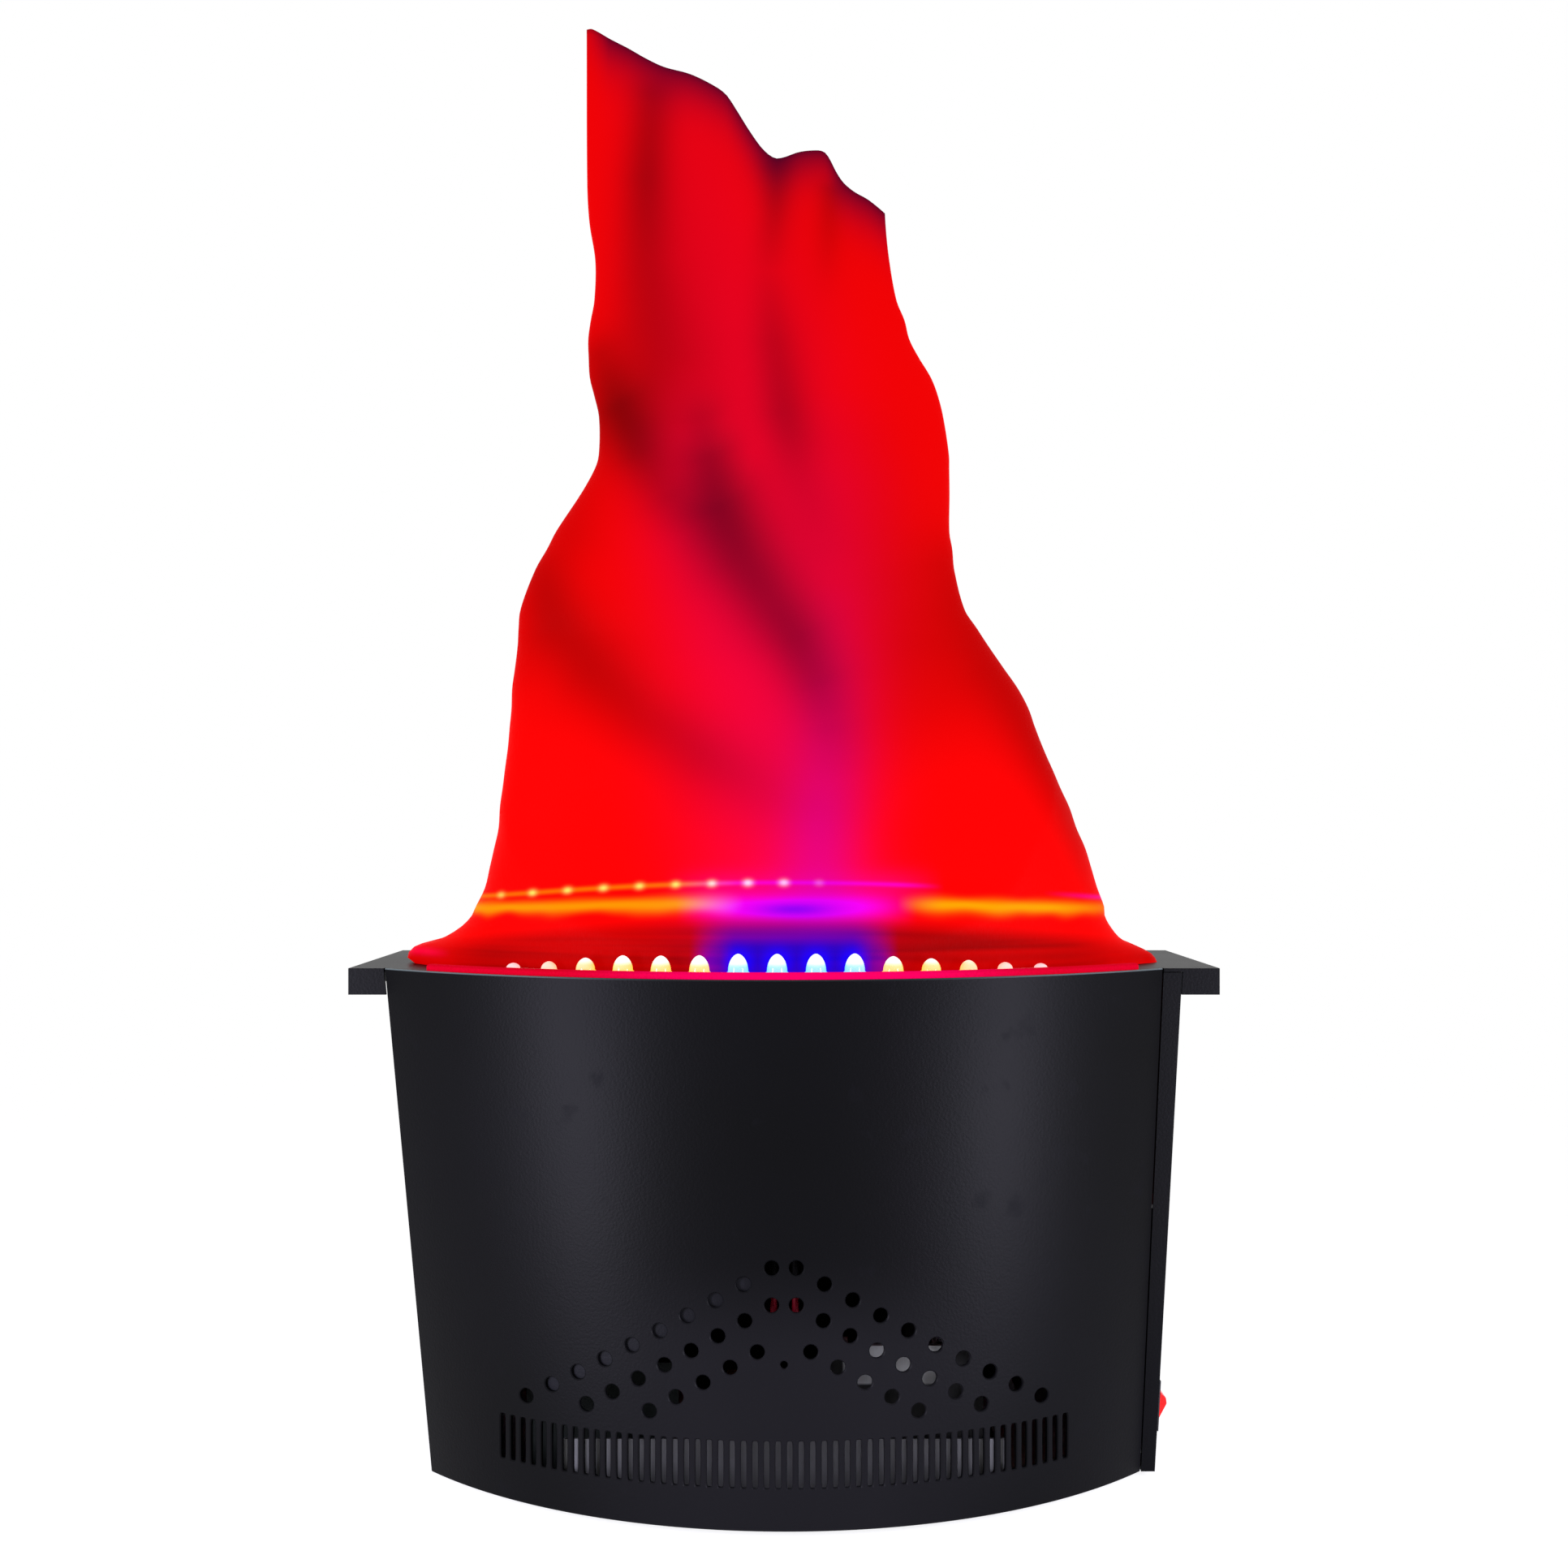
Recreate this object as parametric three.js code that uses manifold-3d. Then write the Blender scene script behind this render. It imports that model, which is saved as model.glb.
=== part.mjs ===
// Silk flame effect light: a tapered steel box with a fan that blows a silk flame up from its rim.
// Millimetres, +Z up, the curved front faces -Y, the origin is under the middle of the box.
import * as THREE from 'three';
import { mergeVertices } from 'three/addons/utils/BufferGeometryUtils.js';
import Module from 'manifold-3d';

const wasm = await Module();
wasm.setup();

// Driving dimensions of the housing
const steel = 1.5;
const fit = 0.3;
const overrun = 2;
const weld = 1e-4;
const footHeight = 3;
const housingHeight = 209;
const topLeft = 166;
const topRight = 165.5;
const bottomLeft = 146.5;
const bottomRight = 154;
const flangeTop = 8;
const flangeBottom = 6;
const sagittaTop = 54;
const sagittaBottom = 60;
const boxDepth = 100;
const wingOut = 15;
const wingLip = 11;

// Vent holes in three chevrons and the slotted grille of the front cover
const ventBore = 5.8;
const ventSlope = 0.58;
const chevrons = [
  { start: 4.7, top: 102.4, pitch: 10.8, count: 10 },
  { start: 4.7, top: 88.3, pitch: 10.3, count: 8 },
  { start: 10.2, top: 70.6, pitch: 10.4, count: 5 },
];
const pilotBore = 3;
const pilotHeight = 65.8;
const slotCount = 52;
const slotPitch = 4.4;
const slotWidth = 2.1;
const slotLength = 18;
const slotBase = 19;

// Feet
const footRadius = 9;
const footInset = 20;

// Front light row, its board and the touch tape in front of it
const tapeWidth = 4.5;
const tapeHeight = 1.8;
const tapeMargin = 9;
const boardThick = 1.6;
const frontBoardWidth = 9;
const frontLampCount = 15;
const frontLampPitch = 15.2;
const frontLampRadius = 3.9;
const frontLampHeight = 8;
const frontLampShift = -2.7;
const frontBoardEnd = 7.8;

// Rear light row on its bracket
const rearLampPitch = 15.3;
const rearLampRadius = 2.5;
const rearLampHeight = 5;
const rearBoardWidth = 8;
const rearBoardEnd = 4;
const rearBoardMargin = 30;
const rearRise = 27;
const rearSetback = 56;
const bracketSheet = 1.2;
const bracketWebHalf = 90;

// Silk flame
const silk = 0.9;
const footMargin = 10.5;
const rearMargin = 15;
const collarWall = 1.5;
const collarHeight = 3.6;
const hemHeight = 4;
const flameHeight = 398;
const flameColumns = 36;
const flameRows = 15;
const footSquareness = 6;
const topSquareness = 2.2;
const topSlit = 6;
const settleShare = 0.09;
const easedShare = 0.7;
const squareShare = 0.35;
const risePower = 1.25;
const slitPower = 6;
const foldEase = 0.5;

// Outline of the flame by height: shares of the flame's height, and of the foot's half width and depth
const flameShares = [
  { height: 0, left: -1.03, right: 1.045, front: -0.4353, rear: 1 },
  { height: 0.022, left: -0.93, right: 0.93, front: -0.3765, rear: 0.9976 },
  { height: 0.042, left: -0.865, right: 0.894, front: -0.2941, rear: 0.9941 },
  { height: 0.063, left: -0.838, right: 0.882, front: -0.2353, rear: 0.9882 },
  { height: 0.105, left: -0.804, right: 0.845, front: -0.1765, rear: 0.9412 },
  { height: 0.167, left: -0.779, right: 0.779, front: -0.1176, rear: 0.8118 },
  { height: 0.23, left: -0.76, right: 0.708, front: -0.0824, rear: 0.7059 },
  { height: 0.292, left: -0.751, right: 0.642, front: -0.0471, rear: 0.6353 },
  { height: 0.334, left: -0.738, right: 0.568, front: -0.0353, rear: 0.5882 },
  { height: 0.375, left: -0.729, right: 0.5, front: -0.0235, rear: 0.5529 },
  { height: 0.417, left: -0.688, right: 0.471, front: -0.0118, rear: 0.5294 },
  { height: 0.459, left: -0.63, right: 0.457, front: 0, rear: 0.5059 },
  { height: 0.5, left: -0.561, right: 0.457, front: 0.0118, rear: 0.4824 },
  { height: 0.542, left: -0.511, right: 0.455, front: 0.0235, rear: 0.4588 },
  { height: 0.583, left: -0.51, right: 0.439, front: 0.0353, rear: 0.4353 },
  { height: 0.625, left: -0.535, right: 0.405, front: 0.0412, rear: 0.4176 },
  { height: 0.667, left: -0.539, right: 0.345, front: 0.0471, rear: 0.4 },
  { height: 0.708, left: -0.522, right: 0.31, front: 0.0529, rear: 0.3882 },
  { height: 0.75, left: -0.519, right: 0.29, front: 0.0588, rear: 0.3765 },
  { height: 0.792, left: -0.535, right: 0.279, front: 0.0647, rear: 0.3647 },
  { height: 0.833, left: -0.541, right: 0.276, front: 0.0706, rear: 0.3529 },
  { height: 1, left: -0.542, right: 0.275, front: 0.0824, rear: 0.3294 },
];

// Ragged top edge from left to right: shares of its width and of the flame's height
const topShares = [
  { across: 0, height: 1 }, { across: 0.02, height: 1 }, { across: 0.14, height: 0.979 },
  { across: 0.26, height: 0.958 }, { across: 0.43, height: 0.9375 }, { across: 0.5, height: 0.917 },
  { across: 0.59, height: 0.876 }, { across: 0.644, height: 0.862 }, { across: 0.71, height: 0.868 },
  { across: 0.795, height: 0.869 }, { across: 0.83, height: 0.854 }, { across: 0.868, height: 0.833 },
  { across: 0.94, height: 0.82 }, { across: 1, height: 0.804 },
];

// Main folds as valleys: ends as shares across and up, half width across, depth as a share of the box's
const foldShares = [
  { from: [0.2, 0.72], to: [0.21, 0.98], half: 0.06, deep: 0.06 },
  { from: [0.6, 0.62], to: [0.6, 0.86], half: 0.055, deep: 0.07 },
  { from: [0.12, 0.5], to: [0.16, 0.7], half: 0.08, deep: 0.06 },
  { from: [0.66, 0.33], to: [0.36, 0.58], half: 0.07, deep: 0.1 },
  { from: [0.34, 0.27], to: [0.1, 0.4], half: 0.07, deep: 0.06 },
  { from: [0.86, 0.3], to: [0.95, 0.48], half: 0.06, deep: 0.06 },
];

// Fan on its shelf
const fanSide = 120;
const fanDepth = 38;
const fanBore = 115;
const fanTip = 111;
const fanHub = 42;
const fanCup = 25;
const fanCupWall = 2;
const fanRise = 9;
const fanMotorRadius = 20;
const fanMotorHeight = 4;
const fanStrut = 5;
const fanStrutHeight = 3;
const fanHolePitch = 105;
const fanHole = 4.4;
const fanBlades = 7;
const bladeThick = 1.8;
const bladeChord = 29;
const bladePitch = 50;
const shaftRadius = 1.5;
const shaftPlay = 0.15;
const bearingPlay = 0.1;
const bearingRadius = 4;
const bearingHousing = 5.5;
const bearingLength = 14;
const statorRadius = 16;
const statorHeight = 12;
const shelfHeight = 112;
const fanSetback = 37;
const grommetHole = 6.5;
const guardWire = 1.8;
const guardRings = 4;
const guardEar = 4.6;
const screwRadius = 1.9;
const screwHead = 3.8;
const screwHeadHeight = 2.4;
const screwTail = 4;

// Rocker switch
const bezelLong = 21;
const bezelWide = 15;
const bezelThick = 1.8;
const switchLong = 19;
const switchWide = 12.8;
const switchDepth = 13;
const rockerLong = 16.4;
const rockerWide = 9.8;
const rockerProud = 5.6;
const rockerPivot = 3;
const rockerDrop = 6.5;
const rockerLip = 1.2;
const rockerFoot = 2.7;
const rockerPin = 1;
const rockerPinReach = 0.5;
const rockerTilt = 10;
const rockerPlay = 0.7;
const rockerRoom = 8;
const switchHeight = 28;
const switchSetback = 14;
const tabLong = 7;
const tabWide = 4.8;
const tabThick = 0.8;
const tabPitch = 6.3;

// Mains inlet
const inletWide = 48;
const inletTall = 23;
const inletFlange = 2.5;
const inletBodyWide = 27;
const inletBodyTall = 19.5;
const inletBodyDepth = 16;
const inletCavityWide = 23.4;
const inletCavityTall = 15.6;
const inletCavityDepth = 13;
const inletPinWide = 4;
const inletPinThick = 2;
const inletPinLong = 10;
const inletPinSpread = 7;
const inletTabLong = 8;
const inletChamfer = 5;
const inletScrewPitch = 40;
const inletScrewRadius = 1.5;
const inletScrewHead = 2.9;
const inletScrewLong = 9;
const inletX = 70;
const inletHeight = 34;

// Power supply board, driver board and what stands on them
const standoff = 7;
const standoffRadius = 3;
const supplyLong = 118;
const supplyWide = 64;
const supplyX = 30;
const supplySetback = 0;
const standoffInset = 5;
const transformerSize = { x: 34, y: 30, z: 27 };
const coreShare = 0.6;
const windingShare = 0.8;
const transformerInset = 10;
const sinkLong = 64;
const sinkDeep = 12;
const sinkTall = 52;
const sinkPlate = 3;
const sinkFins = 8;
const sinkFin = 1.6;
const sinkInset = 10;
const capacitorRadius = 9;
const capacitorHeight = 28;
const capacitorCount = 2;
const terminalSize = { x: 30, y: 11, z: 12 };
const driverLong = 62;
const driverTall = 46;
const driverX = -74;
const driverSetback = -10;
const driverFoot = 12;
const driverBracket = 1.2;
const driverChip = { x: 20, y: 4.5, z: 15 };

// Leads
const leadRadius = 1.3;
const leadSides = 8;
const leadStep = 7.8;
const frontLeadX = -108;
const fanLeadX = 0.2;
const fanLeadSetback = -43.5;
const lightLeadX = -100;
const lightLeadSetback = 41;
const earthX = 105;
const earthSetback = 68;

// Places worked out from the driving dimensions
const chordY = (sagittaBottom - boxDepth - inletFlange) / 2;
const backY = chordY + boxDepth;
const footDepth = boxDepth - rearMargin;
const rearY = chordY + footDepth;
const wingHalf = Math.max(topLeft, topRight) + wingOut;
const footHalf = Math.min(topLeft, topRight) - footMargin;
const rimZ = footHeight + housingHeight;
const deckBase = rimZ - steel;
const wallTop = deckBase - fit;
const floorTop = footHeight + steel;
const shelfTop = shelfHeight + steel;
const tapeInset = steel + fit;
const boardInset = tapeInset + tapeWidth + fit;
const silkInset = boardInset + frontBoardWidth + fit;
const fanY = chordY + fanSetback;
const arcSteps = 36;
const ductSteps = 32;
const roundSteps = 16;
const smallSteps = 8;
const domeSteps = 2;

function material(color, roughness, metalness) {
  return new THREE.MeshStandardMaterial({ color, roughness, metalness, flatShading: true });
}

const finishes = {
  blackPaint: material(0x1b1b20, 0.45, 0.3),
  zinc: material(0xa9adb2, 0.4, 0.9),
  blackPlastic: material(0x141416, 0.6, 0),
  greyPlastic: material(0x8c8f93, 0.55, 0),
  redPlastic: material(0xd01010, 0.3, 0),
  rubber: material(0x101010, 0.9, 0),
  redSilk: material(0xf01010, 0.7, 0),
  redTape: material(0xe01030, 0.9, 0),
  greenBoard: material(0x1f5a34, 0.6, 0),
  whiteBoard: material(0xe8e8e4, 0.5, 0),
  aluminium: material(0xb8bcc2, 0.35, 1),
  steelBright: material(0xc8c8c8, 0.3, 1),
  yellowTape: material(0xd9b63a, 0.5, 0),
  brownLead: material(0x6b3d1e, 0.5, 0),
  blueLead: material(0x2255aa, 0.5, 0),
  redLead: material(0xc01818, 0.5, 0),
  greyLead: material(0x9a9a9a, 0.5, 0),
};

const light = new THREE.Group();

function add(name, geometry, finish, parent = light) {
  const mesh = new THREE.Mesh(geometry, finish);
  mesh.name = name;
  parent.add(mesh);
  return mesh;
}

function mix(a, b, share) {
  return a + (b - a) * share;
}

function bare(geometry) {
  const flat = geometry.clone();
  for (const key of Object.keys(flat.attributes)) if (key !== 'position') flat.deleteAttribute(key);
  return mergeVertices(flat, weld);
}

function solid(geometry) {
  const merged = bare(geometry);
  return new wasm.Manifold(new wasm.Mesh({
    numProp: 3,
    vertProperties: Float32Array.from(merged.attributes.position.array),
    triVerts: Uint32Array.from(merged.index.array),
  }));
}

function shaped(body) {
  const { vertProperties, triVerts } = body.getMesh();
  const geometry = new THREE.BufferGeometry();
  geometry.setAttribute('position', new THREE.BufferAttribute(Float32Array.from(vertProperties), 3));
  geometry.setIndex(new THREE.BufferAttribute(Uint32Array.from(triVerts), 1));
  geometry.computeVertexNormals();
  return geometry;
}

function joined(...geometries) {
  return shaped(geometries.map(solid).reduce((whole, next) => whole.add(next)));
}

function cut(base, ...tools) {
  return shaped(tools.map(solid).reduce((left, tool) => left.subtract(tool), solid(base)));
}

function box(x, y, z, cx = 0, cy = 0, base = 0) {
  return new THREE.BoxGeometry(x, y, z).translate(cx, cy, base + z / 2);
}

function rod(radius, length, cx = 0, cy = 0, base = 0, sides = roundSteps) {
  const geometry = new THREE.CylinderGeometry(radius, radius, length, sides);
  return geometry.rotateX(Math.PI / 2).translate(cx, cy, base + length / 2);
}

function turned(profile, sides = roundSteps) {
  const points = profile.map(([radius, height]) => new THREE.Vector2(radius, height));
  return new THREE.LatheGeometry(points, sides).rotateX(Math.PI / 2);
}

function slab(outline, holes, base, thickness) {
  const shape = new THREE.Shape(outline);
  shape.holes = holes.map((hole) => new THREE.Path(hole));
  return new THREE.ExtrudeGeometry(shape, { depth: thickness, bevelEnabled: false })
    .translate(0, 0, base);
}

// A closed body through loops of equal length, one above the other
function loft(loops) {
  const count = loops[0].length;
  const points = loops.flat();
  const faces = [];
  for (let level = 0; level + 1 < loops.length; level += 1) {
    for (let i = 0; i < count; i += 1) {
      const a = level * count + i;
      const b = level * count + ((i + 1) % count);
      faces.push(a, b, b + count, a, b + count, a + count);
    }
  }
  const last = (loops.length - 1) * count;
  for (const [a, b, c] of THREE.ShapeUtils.triangulateShape(loops[0], [])) {
    faces.push(a, c, b, last + a, last + b, last + c);
  }
  return facingOut(points, faces);
}

function facingOut(points, faces) {
  let volume = 0;
  for (let i = 0; i < faces.length; i += 3) {
    const [a, b, c] = [points[faces[i]], points[faces[i + 1]], points[faces[i + 2]]];
    volume += a.dot(b.clone().cross(c));
  }
  const geometry = new THREE.BufferGeometry().setFromPoints(points);
  geometry.setIndex(volume < 0 ? faces.slice().reverse() : faces);
  geometry.computeVertexNormals();
  return geometry;
}

function raised(outline, z) {
  return outline.map((point) => new THREE.Vector3(point.x, point.y, z));
}

// The walls of the tapered box at one height
function wallsAt(z) {
  const share = (z - footHeight) / housingHeight;
  const left = -mix(bottomLeft, topLeft, share);
  const right = mix(bottomRight, topRight, share);
  const seam = right - mix(flangeBottom, flangeTop, share);
  const sagitta = mix(sagittaBottom, sagittaTop, share);
  const half = (seam - left) / 2;
  const radius = (half * half + sagitta * sagitta) / (2 * sagitta);
  return { left, right, seam, half, radius, middle: (left + seam) / 2, y: chordY - sagitta + radius };
}

function frontAt(x, z, inset) {
  const wall = wallsAt(z);
  const reach = wall.radius - inset;
  const off = x - wall.middle;
  return wall.y - Math.sqrt(Math.max(reach * reach - off * off, 0));
}

function arcPoints(from, to, z, inset, steps = arcSteps) {
  const points = [];
  for (let i = 0; i <= steps; i += 1) {
    const x = mix(from, to, i / steps);
    points.push(new THREE.Vector2(x, frontAt(x, z, inset)));
  }
  return points;
}

// The outline of a plate that fills the box at one height, a clearance away from its walls
function insideAt(z, clearance) {
  const wall = wallsAt(z);
  const left = wall.left + steel + clearance;
  const right = wall.right - steel - clearance;
  const behindFlange = chordY + steel + clearance;
  return [
    ...arcPoints(left, wall.seam - steel - clearance, z, steel + clearance),
    new THREE.Vector2(wall.seam - steel - clearance, behindFlange),
    new THREE.Vector2(right, behindFlange),
    new THREE.Vector2(right, backY - steel - clearance),
    new THREE.Vector2(left, backY - steel - clearance),
  ];
}

function coverSection(z) {
  const wall = wallsAt(z);
  const swing = Math.asin(wall.half / wall.radius);
  const outer = [];
  const inner = [];
  for (let i = 0; i <= arcSteps; i += 1) {
    const angle = mix(-swing, swing, i / arcSteps);
    const [x, y] = [Math.sin(angle), Math.cos(angle)];
    outer.push(new THREE.Vector3(wall.middle + wall.radius * x, wall.y - wall.radius * y, z));
    inner.push(new THREE.Vector3(
      wall.middle + (wall.radius - steel) * x, wall.y - (wall.radius - steel) * y, z,
    ));
  }
  return [...outer, ...inner.reverse()];
}

// Front cover: one curved sheet from the left corner to the seam, punched for air
function frontCover() {
  const sheet = loft([coverSection(footHeight), coverSection(rimZ)]);
  const reach = steel + 2 * overrun;
  const punches = [];
  for (const { start, top, pitch, count } of chevrons) {
    for (let i = 0; i < count; i += 1) {
      const x = start + i * pitch;
      const z = top - i * pitch * ventSlope;
      punches.push([x, z, ventBore / 2], [-x, z, ventBore / 2]);
    }
  }
  punches.push([0, pilotHeight, pilotBore / 2]);
  const tools = punches.map(([x, z, radius]) => {
    const y = frontAt(x, z, steel / 2);
    const slope = Math.asin((x - wallsAt(z).middle) / wallsAt(z).radius);
    return new THREE.CylinderGeometry(radius, radius, reach, smallSteps)
      .rotateZ(slope).translate(x, y, z);
  });
  for (let i = 0; i < slotCount; i += 1) {
    const x = (i - (slotCount - 1) / 2) * slotPitch;
    const z = slotBase + slotLength / 2;
    const slope = Math.asin((x - wallsAt(z).middle) / wallsAt(z).radius);
    tools.push(new THREE.BoxGeometry(slotWidth, reach, slotLength)
      .rotateZ(slope).translate(x, frontAt(x, z, steel / 2), z));
  }
  return cut(sheet, ...tools);
}

function chassisSection(z) {
  const { left, right, seam } = wallsAt(z);
  const front = chordY + steel + fit;
  return [
    [left, front], [left + steel, front], [left + steel, backY - steel],
    [right - steel, backY - steel], [right - steel, chordY + steel],
    [seam + fit, chordY + steel], [seam + fit, chordY], [right, chordY],
    [right, backY], [left, backY],
  ].map(([x, y]) => new THREE.Vector3(x, y, z));
}

// The frame of the switch: its wall leans outward going up
const lean = Math.atan((topRight - bottomRight) / housingHeight);
const switchPlace = new THREE.Vector3(
  wallsAt(switchHeight).right, chordY + switchSetback, switchHeight,
);

// Rear chassis: back wall, side walls and the narrow front flange, folded from one sheet
function rearChassis() {
  const shell = loft([chassisSection(footHeight), chassisSection(wallTop)]);
  const switchCut = new THREE.BoxGeometry(steel + 2 * overrun, switchWide + 2 * fit, switchLong + 2 * fit)
    .rotateY(lean).translate(switchPlace.x - steel / 2, switchPlace.y, switchPlace.z);
  const inletCut = new THREE.BoxGeometry(
    inletBodyWide + 2 * fit, steel + 2 * overrun, inletBodyTall + 2 * fit,
  ).translate(inletX, backY - steel / 2, inletHeight);
  const screwCuts = [-1, 1].map((side) => screwHole(inletX + side * inletScrewPitch / 2, inletHeight));
  return cut(shell, switchCut, inletCut, ...screwCuts);
}

function screwHole(x, z) {
  const radius = inletScrewRadius + fit;
  return new THREE.CylinderGeometry(radius, radius, steel + 2 * overrun, smallSteps)
    .translate(x, backY - steel / 2, z);
}

// A value from a table of shares at a place along it
function valueAt(table, key, at, wanted) {
  let i = 0;
  while (i + 2 < table.length && table[i + 1][key] < at) i += 1;
  const [low, high] = [table[i], table[i + 1]];
  const share = Math.min(Math.max((at - low[key]) / (high[key] - low[key]), 0), 1);
  return mix(low[wanted], high[wanted], share);
}

// A column of the silk: how far across it stands, and whether it is in front or behind
function columnAt(index) {
  const turn = index / (flameColumns / 2);
  const across = turn <= 1 ? turn : 2 - turn;
  const eased = (1 - Math.cos(across * Math.PI)) / 2;
  return { across: mix(across, eased, easedShare), front: turn > 0 && turn < 1 };
}

// A point of a rounded section between two sides and a front and a rear
function sectionPoint(column, left, right, front, rear, squareness) {
  const x = mix(left, right, column.across);
  const bulge = (1 - Math.abs(2 * column.across - 1) ** squareness) ** (1 / squareness);
  return new THREE.Vector2(x, mix((front + rear) / 2, column.front ? front : rear, bulge));
}

function openingPoint(column, inset) {
  const half = footHalf - inset;
  const x = mix(-half, half, column.across);
  const front = frontAt(x, rimZ, silkInset + inset);
  return sectionPoint(column, -half, half, front, rearY - inset, footSquareness);
}

function openingLoop(inset) {
  const loop = [];
  for (let i = 0; i < flameColumns; i += 1) loop.push(openingPoint(columnAt(i), inset));
  return loop;
}

function openingRearAt(x, inset) {
  const across = (x / (footHalf - inset) + 1) / 2;
  return openingPoint({ across, front: false }, inset).y;
}

// Top deck: a folded sheet with a wing on each side and the opening for the silk
function topDeck() {
  const frontLeadY = frontAt(frontLeadX, rimZ, boardInset + frontBoardWidth / 2);
  const wall = wallsAt(deckBase);
  const rim = wallsAt(rimZ);
  const notch = chordY + steel + fit;
  const outline = [
    new THREE.Vector2(-wingHalf, chordY),
    new THREE.Vector2(rim.left - fit, chordY),
    new THREE.Vector2(rim.left - fit, notch),
    new THREE.Vector2(wall.left + steel, notch),
    ...arcPoints(wall.left + steel + fit, wall.seam - steel - fit, deckBase, steel + fit),
    new THREE.Vector2(wall.seam - steel, notch),
    new THREE.Vector2(rim.seam + fit, notch),
    new THREE.Vector2(rim.seam + fit, chordY),
    new THREE.Vector2(wingHalf, chordY),
    new THREE.Vector2(wingHalf, backY),
    new THREE.Vector2(-wingHalf, backY),
  ];
  const opening = openingLoop(silk + 2 * fit + collarWall);
  const plate = slab(outline, [opening], deckBase, steel);
  const lips = [];
  for (const side of [-1, 1]) {
    const lipAt = (y, z) => {
      const beside = wallsAt(z);
      const inner = side < 0 ? beside.left - fit : beside.right + fit;
      const [low, high] = [Math.min(inner, side * wingHalf), Math.max(inner, side * wingHalf)];
      return raised([
        new THREE.Vector2(low, y), new THREE.Vector2(high, y),
        new THREE.Vector2(high, y + steel), new THREE.Vector2(low, y + steel),
      ], z);
    };
    for (const y of [chordY, backY - steel]) {
      lips.push(loft([lipAt(y, rimZ - wingLip), lipAt(y, rimZ)]));
    }
    lips.push(box(
      steel, boxDepth, wingLip, side * (wingHalf - steel / 2), chordY + boxDepth / 2, rimZ - wingLip,
    ));
  }
  const leadHole = rod(grommetHole / 2, steel + 2 * overrun, frontLeadX, frontLeadY, deckBase - overrun);
  return cut(joined(plate, ...lips), leadHole);
}

function bottomPlate() {
  return loft([
    raised(insideAt(footHeight, fit), footHeight),
    raised(insideAt(floorTop, 2 * fit), floorTop),
  ]);
}

add('front_cover', frontCover(), finishes.blackPaint);
add('rear_chassis', rearChassis(), finishes.blackPaint);
add('top_deck', topDeck(), finishes.blackPaint);
add('bottom_plate', bottomPlate(), finishes.blackPaint);

// Rubber feet under the bottom plate
function footProfile() {
  const height = footHeight;
  return [
    [0, 0], [footRadius - height / 2, 0], [footRadius, height / 2], [footRadius, height], [0, height],
  ];
}

const frontFootX = bottomLeft / 2;
const rearFootX = bottomLeft - footInset;
const footPlaces = {
  foot_front_left: [-frontFootX, frontAt(-frontFootX, footHeight, footInset)],
  foot_front_right: [frontFootX, frontAt(frontFootX, footHeight, footInset)],
  foot_rear_left: [-rearFootX, backY - footInset],
  foot_rear_right: [rearFootX, backY - footInset],
};
for (const [name, [x, y]] of Object.entries(footPlaces)) {
  add(name, turned(footProfile(), roundSteps), finishes.rubber).position.set(x, y, 0);
}

// Touch tape, light board and its lamps follow the front arc on the deck
function bandOutline(from, to, inset, width) {
  const outer = arcPoints(from, to, rimZ, inset);
  const inner = arcPoints(from, to, rimZ, inset + width).reverse();
  return [...outer, ...inner];
}

function lampProfile(radius, height) {
  const profile = [[0, 0], [radius, 0]];
  for (let i = 0; i <= domeSteps; i += 1) {
    const angle = (i / domeSteps) * (Math.PI / 2);
    profile.push([radius * Math.cos(angle), height - radius + radius * Math.sin(angle)]);
  }
  profile[profile.length - 1][0] = 0;
  return profile;
}

function lampAt(x, y, base, radius, height) {
  return turned(lampProfile(radius, height), smallSteps).translate(x, y, base);
}

function frontLightBoard() {
  const reach = ((frontLampCount - 1) / 2) * frontLampPitch + frontBoardEnd;
  const board = slab(
    bandOutline(frontLampShift - reach, frontLampShift + reach, boardInset, frontBoardWidth),
    [], rimZ, boardThick,
  );
  const lamps = [];
  for (let i = 0; i < frontLampCount; i += 1) {
    const x = frontLampShift + (i - (frontLampCount - 1) / 2) * frontLampPitch;
    const y = frontAt(x, rimZ, boardInset + frontBoardWidth / 2);
    lamps.push(lampAt(x, y, rimZ + boardThick / 2, frontLampRadius, frontLampHeight + boardThick / 2));
  }
  return joined(board, ...lamps);
}

const tapeReach = footHalf - tapeMargin;
add('touch_tape', slab(
  bandOutline(-tapeReach, tapeReach, tapeInset, tapeWidth), [], rimZ, tapeHeight,
), finishes.redTape);
add('front_light_board', frontLightBoard(), finishes.whiteBoard);

// Collar: a folded ring on the deck that the silk's hem is pressed round
add('silk_collar', slab(
  openingLoop(silk + fit), [openingLoop(silk + fit + collarWall)], rimZ, collarHeight,
), finishes.zinc);

// Rear light row on a bracket that stands from the collar's rear wall
const bracketY = openingRearAt(bracketWebHalf, silk + 3 * fit + collarWall);
const bracketShelfZ = rimZ + rearRise - boardThick - bracketSheet;
const rearLampY = chordY + rearSetback;
const rearLampCount = 2 * Math.floor((footHalf - rearBoardMargin) / rearLampPitch) + 1;
const rearBoardHalf = ((rearLampCount - 1) / 2) * rearLampPitch + rearBoardEnd;

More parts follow.
